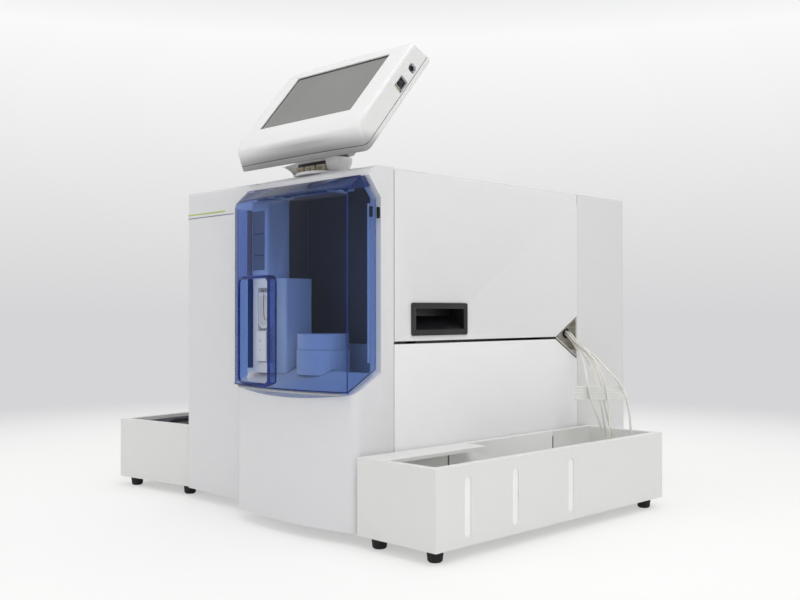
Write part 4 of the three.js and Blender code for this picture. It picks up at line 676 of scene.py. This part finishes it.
def unit_ring(depth, inset=0.0):
    """The unit's outline at a depth behind its face: an arched top and a hollow under its middle."""
    share = max(0.0, depth) / unit_depth
    side = fillet_inset(depth, side_fillet) + inset
    lip = lip_reach * eased(depth, -0.5, 7)
    chin = chin_drop * eased(depth, 0, 5) * (1 - share)
    x0 = flank_left - side_growth * share - lip + side
    x1 = flank_right + side_growth * share - side
    z0 = unit_low - low_growth * share - chin + fillet_inset(depth, low_fillet) + inset
    z1 = unit_high + high_growth * share - side
    radius = max(least_corner, unit_corner - inset)
    corner_steps, side_spans = 8, 12
    corners = [((x1 - radius, z1 - radius), 0), ((x0 + radius, z1 - radius), 90),
               ((x0 + radius, z0 + radius), 180), ((x1 - radius, z0 + radius), 270)]
    curves = [arc(center, radius, start, start + 90, corner_steps) for center, start in corners]
    outline = []
    for curve, after in zip(curves, curves[1:] + curves[:1]):
        outline += curve + divided(curve[-1], after[0], side_spans)
    ring = []
    middle, half = (x0 + x1) / 2, (x1 - x0) / 2
    for x, z in outline:
        across = (x - middle) / half
        arch = max(0.0, 1 - across * across)
        upper, lower = eased(z, 40, 90), eased(-z, -20, 15)
        z += top_arch * arch * upper - top_drop * upper
        z += hollow_rise * arch * lower * eased(depth, 9, 14) * (1 - eased(depth, 19, 27))
        z -= front_sag * arch * lower * (1 - eased(depth, 5, 12))
        ring.append(unit_point(x, depth, z))
    return ring


def unit_box(name, x0, x1, z0, z1, radius, front, back):
    outline = rounded_box_outline(x0, x1, z0, z1, radius, 5)
    return loft(name, [[unit_point(x, depth, z) for x, z in outline] for depth in (front, back)])


def flank_block(name, outline, x0, x1):
    """A block across the right flank, with its outline seen from the side."""
    return loft(name, [[unit_point(x, depth, z) for depth, z in outline] for x in (x0, x1)])


def flank_box(name, depth0, depth1, z0, z1, radius, x0, x1):
    return flank_block(name, rounded_box_outline(depth0, depth1, z0, z1, radius, 4), x0, x1)


def shaded_housing_material():
    """White moulding with painted shade in its colour: greyer towards the back of the underside, in the
    hollow under its middle and on the right flank, in the unit's own directions.
    """
    made = moulded("screen_body_painted_shade", rgb(248, 248, 247), rgb(249, 249, 248), 0.3, 2200, 0.08)
    tone_input = principled(made).inputs["Base Color"]
    tone = tone_input.links[0].from_socket
    place = add_node(made, "ShaderNodeTexCoord").outputs["Object"]
    offset = vector_node(made, "SUBTRACT", place, at(unit_x, unit_y, unit_z)).outputs[0]
    height = vector_node(made, "DOT_PRODUCT", offset, (0, lean_sine, lean_cosine)).outputs["Value"]
    split = add_node(made, "ShaderNodeSeparateXYZ")
    link(made, offset, split.inputs[0])
    across = split.outputs["X"]
    arch_per_metre, rearward_share = 0.64, 0.9
    squared = math_node(made, "MULTIPLY", across, across).outputs[0]
    hollow = math_node(made, "MULTIPLY_ADD", squared, arch_per_metre, height).outputs[0]
    direction = (0, lean_sine - rearward_share * lean_cosine, lean_cosine + rearward_share * lean_sine)
    rearward = vector_node(made, "DOT_PRODUCT", offset, direction).outputs["Value"]
    # Painted shade: darker towards the back of the underside, in the hollow under the middle, and on the
    # right flank
    shares = [map_range(made, source, span, result, "SMOOTHSTEP") for source, span, result in (
        (rearward, (-0.009, 0.013), (0.48, 1)),
        (hollow, (-0.034, -0.0245), (0.66, 1)),
        (across, (0.1055, 0.1085), (1, 0.86)))]
    both = math_node(made, "MULTIPLY", *shares[:2]).outputs[0]
    painted_shade_share = math_node(made, "MULTIPLY", both, shares[2]).outputs[0]
    shaded_tone = add_node(made, "ShaderNodeVectorMath", operation="SCALE")
    link(made, tone, shaded_tone.inputs[0])
    link(made, painted_shade_share, shaded_tone.inputs["Scale"])
    link(made, shaded_tone.outputs[0], tone_input)
    return made


shaded_housing_white = shaded_housing_material()
front_depths = [-0.8, -0.77, -0.68, -0.4, 0, 0.6, 1.3, 2.2, 3.2, 4.4, 5.8, 7.5, 9.2, 12, 15, 18, 21]
frame_rings = [unit_ring(depth) for depth in front_depths] + [unit_ring(frame_depth, 0.5)]
unit_hollow = loft("unit_hollow", [unit_ring(depth, 3) for depth in (2.4, 6, 10, 15, 20, 26)])
frame_mesh = combined(loft("monitor_frame", frame_rings), [unit_hollow], "DIFFERENCE")
screen_half_width, screen_half_height, screen_middle = 78.5, 45.0, 43.8
screen_low, screen_high = screen_middle - screen_half_height, screen_middle + screen_half_height


def screen_box(name, side, low, high, radius, front, back):
    """A box the size of the screen's opening, larger by a margin at each edge."""
    return unit_box(name, -screen_half_width - side, screen_half_width + side, screen_low - low,
                    screen_high + high, radius, front, back)


frame_mesh = combined(frame_mesh, [screen_box("opening", 0, 0, 0, 1.5, -3, 5)], "DIFFERENCE")
jack_front, jack_rear, jack_low, jack_high = 8.5, 20.5, 39.4, 57.4
plug_front, plug_rear, plug_low, plug_high = 9.5, 19.5, 69.3, 79.3
port_floor, port_outside = flank_right - 9, flank_right + 4
frame_mesh = combined(frame_mesh, [
    flank_box("jack_hole", jack_front, jack_rear, jack_low, jack_high, 2.2, port_floor, port_outside),
    flank_box("plug_hole", plug_front, plug_rear, plug_low, plug_high, 3.5, port_floor, port_outside),
], "DIFFERENCE")
replace_node("monitor_frame", frame_mesh, shaded_housing_white, bevel=0.35)

shell_sections = ((frame_depth + 0.15, 0.6), (frame_depth + 0.7, 0), (24, 0), (26, 0), (27.2, 0.8),
                  (unit_depth, 3))
shell_mesh = loft("monitor_rear_shell", [unit_ring(depth, inset) for depth, inset in shell_sections])
ear_inner, ear_outer, ear_radius, ear_root = 30, 36, 8, 16
ear_front = unit_depth - 1
web = [(ear_front, -ear_root), *[(unit_ahead + a, b) for a, b in arc((0, 0), ear_radius, -90, 90, 10)],
       (ear_front, ear_root)]
ear_parts = [flank_block("ear", web, side * ear_inner, side * ear_outer) for side in (-1, 1)]
shell_mesh = combined(shell_mesh, ear_parts, "UNION")
replace_node("monitor_rear_shell", shell_mesh, shaded_housing_white, bevel=0.5)

# The dark gasket round the glass is widest at the top, where it also paints the shade under the opening's
# upper edge
glass_overlap, gasket_play, gasket_width, gasket_shade_width_high = 1.5, 0.05, 0.8, 1.3
glass_mesh = screen_box("touch_screen", glass_overlap, glass_overlap, glass_overlap, 2, 1.3, 5)
replace_node("touch_screen", glass_mesh, screen_glass, 30, 0.2)
gasket_mesh = combined(
    screen_box("screen_gasket", -gasket_play, -gasket_play, -gasket_play, 1.4, 0.5, 1.5),
    [screen_box("gasket_hole", -gasket_width, -gasket_width, -gasket_shade_width_high, 1, -1, 3)], "DIFFERENCE")
seam_rings = [unit_ring(depth, 0.3) for depth in (frame_depth - 0.15, frame_depth + 0.65)]
seam_mesh = loft("screen_seam", seam_rings)

# Ports in the right flank: a square jack with a beige foot below it, and a round socket
jack_play, jack_wall = 0.4, 1.5
plug_middle = ((plug_front + plug_rear) / 2, (plug_low + plug_high) / 2)


def jack_box(name, inset, low, high, radius, above_floor, recess):
    """A box in the jack's opening, with an inset from its front and rear edge."""
    return flank_box(name, jack_front + inset, jack_rear - inset, jack_low + low, high, radius,
                     port_floor + above_floor, flank_right - recess)


def flank_disc(name, radius, x0, x1, steps=20):
    return flank_block(name, arc(plug_middle, radius, 0, 360 - 360 / steps, steps - 1), x0, x1)


jack_shell = combined(jack_box("jack_shell", jack_play, 4.5, jack_high - jack_play, 1.6, 0, 0.8), [
    jack_box("jack_bore", jack_wall, 5.6, jack_high - jack_wall, 0.8, 1, -2)], "DIFFERENCE")
jack_tongue = flank_box("jack_tongue", jack_front + 4, jack_rear - 4.4, jack_low + 8, jack_high - 4.5, 0.5,
                        port_floor + 0.8, flank_right - 2.2)
jack_foot = jack_box("jack_foot", jack_play, 0.3, jack_low + 4.3, 1.2, 0, 1.4)
plug_shell = combined(flank_disc("plug_shell", 4.6, port_floor, flank_right - 1), [
    flank_disc("plug_bore", 3.5, port_floor + 1.5, flank_right + 2)], "DIFFERENCE")
plug_core = flank_disc("plug_core", 1.5, port_floor + 1, flank_right - 2.5, 12)
unit_trim = (
    ("screen_seam", seam_mesh, dark_sheet, "black_plastic", 0),
    ("screen_gasket", gasket_mesh, dark_sheet, "black_plastic", 0),
    ("jack_shell", jack_shell, steel, "bright_metal", 0),
    ("jack_tongue", jack_tongue, black_plastic, "black_plastic", 0),
    ("jack_foot", jack_foot, beige_plastic, "pump_beige", 0.3),
    ("plug_shell", plug_shell, steel, "bright_metal", 0),
    ("plug_core", plug_core, black_plastic, "black_plastic", 0),
)
for name, mesh, finish, slot, bevel in unit_trim:
    piece_from(name, mesh, finish, "monitor_frame", bevel=bevel)

# Neck: a flared post with an open bay on its front, and a bowl that carries the swivel beside it
neck_low, neck_high = 388.4, 403.0
post_left, post_right, post_half_depth, post_taper, post_steps = -140, -92, 17, 3, 6
flare_reach, flare_power, flare_least = 26, 1.6, 9
tongue_left, tongue_right, tongue_front, tongue_rear = -136, -78, -4, 12
bowl_x, bowl_y, bowl_low, bowl_height, bowl_radius, bowl_swell, bowl_steps = -85, -2, 385.4, 18, 9, 6.5, 8
bay_left, bay_right, bay_front, bay_rear = -147, -90, -30, -7
barrel_left, barrel_right, barrel_radius = -136.5, -77.5, 7.8


def neck_ring(x0, x1, y0, y1, z, radius=6):
    return [(x, y, z) for x, y in rounded_box_outline(x0, x1, y0, y1, radius, 5)]


post_rings = []
for k in range(post_steps + 1):
    share = k / post_steps
    flare = flare_reach * share ** flare_power + flare_least
    half_depth = post_half_depth - post_taper * share
    height = neck_low + (neck_high - neck_low) * share
    post_rings.append(neck_ring(post_left - flare, post_right, -half_depth, half_depth, height))
for height in (407, 414):
    post_rings.append(neck_ring(tongue_left, tongue_right, tongue_front, tongue_rear, height, 4))
bowl_rings = []
for k in range(bowl_steps + 1):
    share = k / bowl_steps
    circle = arc((0, 0), bowl_radius + bowl_swell * math.sin(share * math.pi / 2), 0, 345, 23)
    bowl_rings.append([(bowl_x + a, bowl_y + b, bowl_low + bowl_height * share) for a, b in circle])
bay_rings = []
for z in (390, 393, 396, 399, 402, 405):
    share = (z - neck_low) / (neck_high - neck_low)
    left = bay_left - flare_reach * share ** flare_power
    bay_rings.append(neck_ring(left, bay_right, bay_front, bay_rear, z, 1))
neck_mesh = combined(loft("neck", post_rings), [loft("bowl", bowl_rings)], "UNION")
neck_mesh = combined(neck_mesh, [loft("bay", bay_rings)], "DIFFERENCE")
barrel = pipe("barrel", [(x, unit_y, unit_z) for x in (barrel_left, barrel_right)], barrel_radius, 24)
neck_mesh = combined(neck_mesh, [barrel], "UNION")
replace_node("monitor_neck", neck_mesh, screen_white, bevel=0.6)
bay_wall = loft("bay_wall", [neck_ring(-147.5, -90.2, -8.2, -7.1, z, 0.3) for z in (390.1, 402.6)])
piece_from("bay_wall", bay_wall, dark_sheet, "monitor_neck")
slot_half, slot_pitch = 0.7, 2.4
for k, (x, width) in enumerate([(-137, 12), (-119.5, 16), (-100.5, 14)]):
    plug_rings = [neck_ring(x - width / 2, x + width / 2, -15, -8, z, 0.8) for z in (390.2, 397.5)]
    slots = []
    for middle in (x - slot_pitch, x, x + slot_pitch):
        slots.append(loft("bay_slot", [
            neck_ring(middle - slot_half, middle + slot_half, -16, -13, z, 0.3) for z in (392, 396)]))
    plug_mesh = combined(loft("bay_plug", plug_rings), slots, "DIFFERENCE")
    piece_from("bay_connector_%d" % (k + 1), plug_mesh, beige_plastic, "monitor_neck")

# Bezel: a grey strip behind the hood's bend and a grey rest under its lower edge, both painted shade
# Painted shade: a grey strip on the lip darkens the area seen through the hood's bend
lip_shade_profile = [(-36.6, 373.4), (-35.4, 374.4), (-27.2, 364.1), (-28.4, 363.1)]
hood_lip_shade = crossbar("hood_lip_shade", lip_shade_profile, (-193.5, -100, -6))
piece_from("hood_lip_shade", hood_lip_shade, lip_shade_grey, "front_bezel", bevel=0.4)
# Painted shade: a grey rest under the hood's lower edge darkens the gap there
rest_set_back, rest_height, rest_radius = 3.2, 151.4, 1.5
rest_rings = []
for x in spread[1:-1]:
    rest_y = hood_front_at(x) + rest_set_back
    rest_rings.append([(x, rest_y + a, rest_height + b) for a, b in arc((0, 0), rest_radius, 0, 330, 11)])
piece_from("hood_rest", loft("hood_rest", rest_rings), grey_foam, "front_bezel", 40)

# Sampler column: a cover with two screws below the sampler, and the sampler's own tube
cover_profile = [(-45, 179.3), (-45, 210), (-44.7, 212.2), (-44, 213.6),
                 (-43.5, 213.6), (-43.5, 181.2), (-42.05, 181.2), (-42.05, 179.3)]
sampler_cover = crossbar("sampler_cover", cover_profile, (-177.3, -159.4))
piece_from("sampler_cover", sampler_cover, liner_white, "sampler_column", 50, 0.4)
screw_x = -169.8
screw_sections = ((-44.8, 1.0), (-45.25, 1.0), (-45.45, 0.7))
for k, z in enumerate((202.6, 191.6)):
    head = loft("screw", [[(screw_x + a, y, z + b) for a, b in arc((0, 0), radius, 0, 330, 11)]
                          for y, radius in screw_sections])
    piece_from("sampler_screw_%d" % (k + 1), head, steel, "sampler_column", 40)
sipper_line = [(-167.6, -41.6, 256), (-167.6, -42.2, 250), (-167.6, -42.2, 236), (-167.2, -42.3, 231),
               (-166, -42.4, 227.6), (-164, -42.4, 226), (-161.6, -42.2, 226.4), (-160.2, -41.6, 229)]
sipper_tube = pipe("sipper_line", smooth_route([Vector(point) for point in sipper_line], 5), 0.55)
piece_from("sipper_line", sipper_tube, steel, "sipper_carriage", 40)

# Dark welts round the notch in the side, with a light one inside them
notch_welts = (
    ("notch_welt_low", [(-1.2, 280.4, 202.2), (-1.2, 303, 189), (-1.2, 324.6, 176.6)], 0.9, "rubber"),
    ("notch_welt_high", [(-1.2, 280.4, 202.6), (-1.2, 303, 215.6), (-1.2, 324.6, 228.2)], 0.55, "rubber"),
    ("notch_welt_inner", [(-1.6, 284.4, 202.4), (-1.6, 304, 191), (-1.6, 323.6, 179.6)], 0.7, "screen"),
)
for name, line, radius, kind in notch_welts:
    finish, slot = finishes[kind]
    piece_from(name, pipe(name, line, radius), finish, "tube_notch_lining", 40)

# Plates that face the front: the catch and its slot, the wing's lines, the slide rails, the sampler's plate
black, rail = (black_plastic, "black_plastic"), (rail_grey, "chamber_light")
front_plates = (
    ("hood_catch", "hood", black, (-7.4, -5.6, 332, 343, -29, -25), (0.5, 5), 0.3),
    ("lip_slot", "front_bezel", black, (-4.6, -1.2, 331, 342.5, -20.4, -18.1), (1.1, 5), 0),
    ("wing_line_green", "front_bezel", (line_green, "white_moulding"),
     (-344, -262.8, 355.9, 357.6, -28.2, -27.6), (0.4, 2), 0),
    ("wing_line_blue", "front_bezel", (line_blue, "white_moulding"),
     (-344, -245.4, 352, 353, -28.2, -27.6), (0.3, 2), 0),
    *[("column_rail_%d" % (k + 1), "sampler_column", rail,
       (-186, -164.5, z0, z1, -42.5, -41.8), (0.8, 3), 0.2)
      for k, (z0, z1) in enumerate(((282, 298.2), (299.6, 322.6), (324, 349)))],
    ("column_rail_back", "sampler_column", finishes["dark"],
     (-185.6, -164.9, 282.2, 348.8, -42.12, -41.6), (0.6, 3), 0),
    ("sipper_plate", "sipper_carriage", (plate_grey, "chamber_light"),
     (-175.6, -160.6, 219.5, 253.5, -41.55, -41.2), (5, 5), 0.15),
)
for name, carrier, (finish, slot), (x0, x1, z0, z1, y0, y1), (radius, steps), bevel in front_plates:
    outline = rounded_box_outline(x0, x1, z0, z1, radius, steps)
    plate = loft(name, [[(x, y, z) for x, z in outline] for y in (y0, y1)])
    piece_from(name, plate, finish, carrier, bevel=bevel)

# Upright slabs: the hood's side rib, a painted shadow strip and a painted highlight strip in two gaps, dark
# sheets in the chamber, painted shade in two grooves of the right caddy
cover_gap = 0.05
side_edge, cover_edge = node_box("lower_side_panel")[1][1], node_box("rear_cover")[0][1]
(sheet_left, _, _), (sheet_right, _, sheet_top) = node_box("chamber_back_panel")
sheet_front, sheet_rear, sheet_low = -11.6, 40.4, 198.8
tray_front, tray_length = -54.5, 397.6
groove_shade_half = 0.8
groove_shade_places = [tray_front + tray_length * share for share in (0.314, 0.785)]
upright_slabs = (
    ("hood_side_rib", "hood", (hood_blue, "hood_plastic"), (-193.9, -191.2, -58, -46.2, 157, 351), 0.4),
    # Painted shadow: a dark strip fills the gap between the hood's left wall and the column
    ("chamber_gap_strip", "front_bezel", (gap_shadow_grey, "grey_foam"),
     (-193.6, -190.1, -45.5, -32, 171, 351), 0.4),
    # Painted highlight: a strip whiter than both panels fills the gap before the rear cover, for the bright
    # edge there
    ("cover_edge_strip", "rear_cover", finishes["screen"],
     (-2.2, -0.35, side_edge + cover_gap, cover_edge - cover_gap, 20, 371), 0.1),
    ("chamber_dark_side", "chamber_back_panel", finishes["dark"],
     (sheet_left - 0.1, sheet_left + 0.8, sheet_front, sheet_rear, sheet_low, sheet_top), 0.4),
    ("chamber_dark_top", "chamber_back_panel", finishes["dark"],
     (sheet_left + 1, sheet_right - 6, sheet_front, sheet_rear, sheet_top - 1, sheet_top - 0.2), 0.4),
    # Painted shade: dark strips fill the two grooves in the right caddy's inner wall
    *[("groove_seal_%d" % (k + 1), "right_caddy_tray", finishes["rubber"],
       (10.6, 12.1, y - groove_shade_half, y + groove_shade_half, 16.5, 84), 0.3) for k, y in enumerate(groove_shade_places)],
)
for name, carrier, (finish, slot), (x0, x1, y0, y1, z0, z1), radius in upright_slabs:
    outline = rounded_box_outline(x0, x1, y0, y1, radius, 3)
    piece_from(name, loft(name, [[(x, y, z) for x, y in outline] for z in (z0, z1)]), finish, carrier)

# Frosted strips in the slots of the right caddy's outer wall
strip_half = 4.6
for k, share in enumerate((0.1137, 0.2953, 0.5327)):
    y = tray_front + tray_length * share
    outline = rounded_box_outline(y - strip_half, y + strip_half, 21.1, 77.9, 4.5)
    strip = crossbar("strip", outline, (106.2, 109.3))
    piece_from("slot_strip_%d" % (k + 1), strip, frosted, "right_caddy_tray")

# Free tubes: routes in millimetres, the same as the solids follow
tube_diameter = 2.6
tube_routes = {
    "tube_1": [
        (-15, 311.9, 206.1), (-8, 311.9, 206.1), (-2.5, 311.1, 202.8), (5.7, 311.4, 193.7),
        (21.1, 302.8, 183.8), (32.4, 292.9, 173.4), (45.2, 280.2, 158.6), (51, 276.1, 144.1),
        (52.8, 277.9, 132.1), (54.2, 280.8, 122.4), (55.3, 287.5, 110.6), (55.8, 295.2, 95.5),
        (55.7, 300.8, 78.1), (55, 299, 55), (56, 297, 33), (57.5, 287, 20.5), (58, 270, 18.2),
        (57, 250, 18.2), (55, 230, 18.2), (52, 210, 18.2),
    ],
    "tube_2": [
        (-15, 312, 209), (-8, 312, 209), (-2.5, 311.2, 206.3), (7.3, 310.2, 197.5), (23.7, 304, 191),
        (38.3, 298.8, 182), (52.1, 294.3, 169.8), (62.5, 290.5, 155.3), (65.8, 291.1, 143.5),
        (67.3, 292.6, 131.5), (68.9, 292.8, 119.6), (71.1, 290.7, 104.4), (72, 288.8, 86.7),
        (72, 288, 62), (72.5, 286, 40), (73.5, 277, 22.5), (74, 260, 18.2), (74, 240, 18.2),
        (73, 219, 18.2), (71, 198, 18.2),
    ],
    "tube_3": [
        (-15, 314.9, 209.8), (-8, 314.9, 209.8), (-2.5, 315.2, 207.3), (6.6, 316.6, 197.1),
        (22.7, 312.9, 188.5), (38, 309.9, 179.2), (53.4, 308.4, 167.5), (70.1, 302.5, 156.3),
        (78.6, 303.3, 147.1), (81.8, 307.2, 136.9), (84, 309.5, 124.9), (85.2, 312.1, 111),
        (85.5, 313.8, 91.7), (85.5, 313.5, 68), (86.5, 313, 44), (88, 304, 24), (89, 287, 18.2),
        (89.5, 266, 18.2), (89, 245, 18.2), (87.5, 224, 18.2),
    ],
    "tube_4": [
        (-15, 314.7, 205.1), (-8, 314.7, 205.1), (-2.5, 315, 201.6), (4.7, 316.1, 190.2),
        (20.5, 310.7, 180.8), (33.8, 304.2, 170.6), (46.3, 295.5, 158), (55.3, 289, 145.4),
        (57.8, 288.7, 136.6), (59, 289.8, 126.3), (58.8, 293.9, 114), (58.2, 299.1, 97.8),
        (57.5, 305.5, 77.8), (61, 305, 55), (63, 303, 34), (65.5, 293, 20.5), (66.5, 275, 18.2),
        (66, 254, 18.2), (64, 233, 18.2), (61.5, 212, 18.2),
    ],
    "tube_5": [
        (-15, 316.5, 207.4), (-8, 316.5, 207.4), (-2.5, 317.5, 204.4), (3.9, 319.5, 193.4),
        (20.6, 315.1, 184.2), (35.1, 309.8, 174.1), (47.4, 302.4, 161.4), (58.1, 293.3, 147.2),
        (60.6, 292.3, 136.5), (61.8, 293.6, 125.1), (62, 298.6, 111.5), (61.2, 306.4, 95.1),
        (60.3, 315.4, 77.2), (73, 317.5, 55), (76.5, 315, 34), (80, 303.5, 20.5), (81.5, 285, 18.2),
        (81.5, 264, 18.2), (80.5, 243, 18.2), (79, 222, 18.2),
    ],
}


def hanging_tube(name, route):
    """A tube piece that follows its route, and the tube's length."""
    line = smooth_route([at(*point) for point in route])
    curve = bpy.data.curves.new(name + "_line", "CURVE")
    curve.dimensions = "3D"
    spline = curve.splines.new("POLY")
    spline.points.add(len(line) - 1)
    for point, place in zip(spline.points, line):
        point.co = (*place, 1)
    curve.bevel_depth = tube_diameter / 2 * MM
    curve.bevel_resolution = 4
    curve.use_fill_caps = True
    spline.use_smooth = True
    piece = link_piece(name + "_skin", curve, milky_tube, name)
    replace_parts(piece, name)
    return piece, sum((b - a).length for a, b in zip(line, line[1:]))


# Tie band: a thin ribbed strip across the tubes, with its ribs lengthwise on its outer side
tie_x, tie_y, tie_z = 60.5, 288.6, 137.0
tie_turn = math.radians(45)
tie_half, tie_thickness = 8.5, 0.4
rib_foot, rib_shoulder, rib_crest, rib_corner = -0.15, -0.4, -0.5, 0.5
rib_count = 5
rib_pitch = 2 * tie_half / rib_count
tie_outline = []
for i in range(rib_count):
    low_edge = -tie_half + rib_pitch * i
    tie_outline += [(rib_foot, low_edge), (rib_shoulder, low_edge + rib_corner),
                    (rib_crest, low_edge + rib_pitch / 2), (rib_shoulder, low_edge + rib_pitch - rib_corner)]
tie_outline += [(rib_foot, tie_half), (tie_thickness, tie_half), (tie_thickness, -tie_half)]


def tie_point(lengthwise, out, up):
    return (tie_x + lengthwise * math.cos(tie_turn) - out * math.sin(tie_turn),
            tie_y + lengthwise * math.sin(tie_turn) + out * math.cos(tie_turn), tie_z + up)


tie_mesh = loft("tube_tie_band", [[tie_point(lengthwise, out, up) for out, up in tie_outline]
                                  for lengthwise in (-31, -20, -10, 0, 10, 25)])
tie_band = link_piece("tube_tie_band_skin", tie_mesh, clear_band, "tube_tie_band")
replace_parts(tie_band, "tube_tie_band")
for name, route in tube_routes.items():
    tube, length = hanging_tube(name, route)


# Floor and backdrop: the floor glows softly and runs into a pale wall colour some way behind the object
def seen_directly(made):
    """One where a camera, mirror or glass ray arrives, and zero for the rays that only light things."""
    path = add_node(made, "ShaderNodeLightPath")
    total = path.outputs["Is Camera Ray"]
    for kind in ("Is Glossy Ray", "Is Transmission Ray"):
        total = math_node(made, "MAXIMUM", total, path.outputs[kind]).outputs[0]
    return total


floor_reach = 14
floor_corners = [(x * floor_reach, y * floor_reach, 0) for x, y in ((-1, -1), (1, -1), (1, 1), (-1, 1))]
floor_mesh = bpy.data.meshes.new("floor")
floor_mesh.from_pydata(floor_corners, [], [(0, 1, 2, 3)])
floor = add_object("floor", floor_mesh)
floor_white = new_material("floor_white", rgb(248, 248, 247), 0.8)
floor_mesh.materials.append(floor_white)

floor_bright = rgb(252, 252, 251)
backdrop_low, backdrop_middle, backdrop_high = rgb(213, 213, 215), rgb(228, 228, 228), rgb(250, 250, 250)
ceiling_low, ceiling_high = rgb(150, 153, 160), rgb(96, 100, 110)
fade_start, fade_end, floor_glow = 0.5, 1.5, 0.46
place = add_node(floor_white, "ShaderNodeTexCoord").outputs["Object"]
distance = vector_node(floor_white, "LENGTH", place).outputs["Value"]
fade = map_range(floor_white, distance, (fade_start, fade_end), (floor_glow, 1), "SMOOTHSTEP")
shown = math_node(floor_white, "MULTIPLY", fade, seen_directly(floor_white)).outputs[0]
glow = add_node(floor_white, "ShaderNodeEmission")
glow_tone = color_ramp(floor_white, fade, ((floor_glow, floor_bright), (1, backdrop_low)))
link(floor_white, glow_tone, glow.inputs["Color"])
mixed(floor_white, shown, principled(floor_white).outputs[0], glow.outputs[0], "Material Output")

world = bpy.data.worlds.new("studio")
bpy.context.scene.world = world
world.use_nodes = True
ambient = world.node_tree.nodes["Background"]
set_values(ambient, {"Color": (*rgb(246, 246, 246), 1), "Strength": 0.5})
split = add_node(world, "ShaderNodeSeparateXYZ")
link(world, add_node(world, "ShaderNodeTexCoord").outputs["Generated"], split.inputs[0])
wall = color_ramp(world, split.outputs["Z"], (
    (0, backdrop_low), (0.11, backdrop_middle), (0.27, backdrop_high), (0.5, ceiling_low), (1, ceiling_high)))
backdrop = add_node(world, "ShaderNodeBackground")
link(world, wall, backdrop.inputs["Color"])
mixed(world, seen_directly(world), ambient.outputs[0], backdrop.outputs[0], "World Output")


# Light: a key from the front right, a weaker fill from the front left, and a wide light above
def area_light(name, place, width, height, power):
    aim = Vector((0, 0, 0.25))
    data = bpy.data.lights.new(name, "AREA")
    data.shape = "RECTANGLE"
    data.size = width
    data.size_y = height
    data.energy = power
    lamp = add_object(name, data)
    lamp.location = place
    lamp.rotation_mode = "QUATERNION"
    lamp.rotation_quaternion = (aim - Vector(place)).to_track_quat("-Z", "Y")


area_light("key", (1.9, -0.7, 2.3), 2.4, 2.4, 29)
area_light("fill", (-1.4, -2.2, 1.6), 2.2, 1.6, 10)
area_light("top", (0, 0.2, 2.8), 2.6, 2.6, 31)
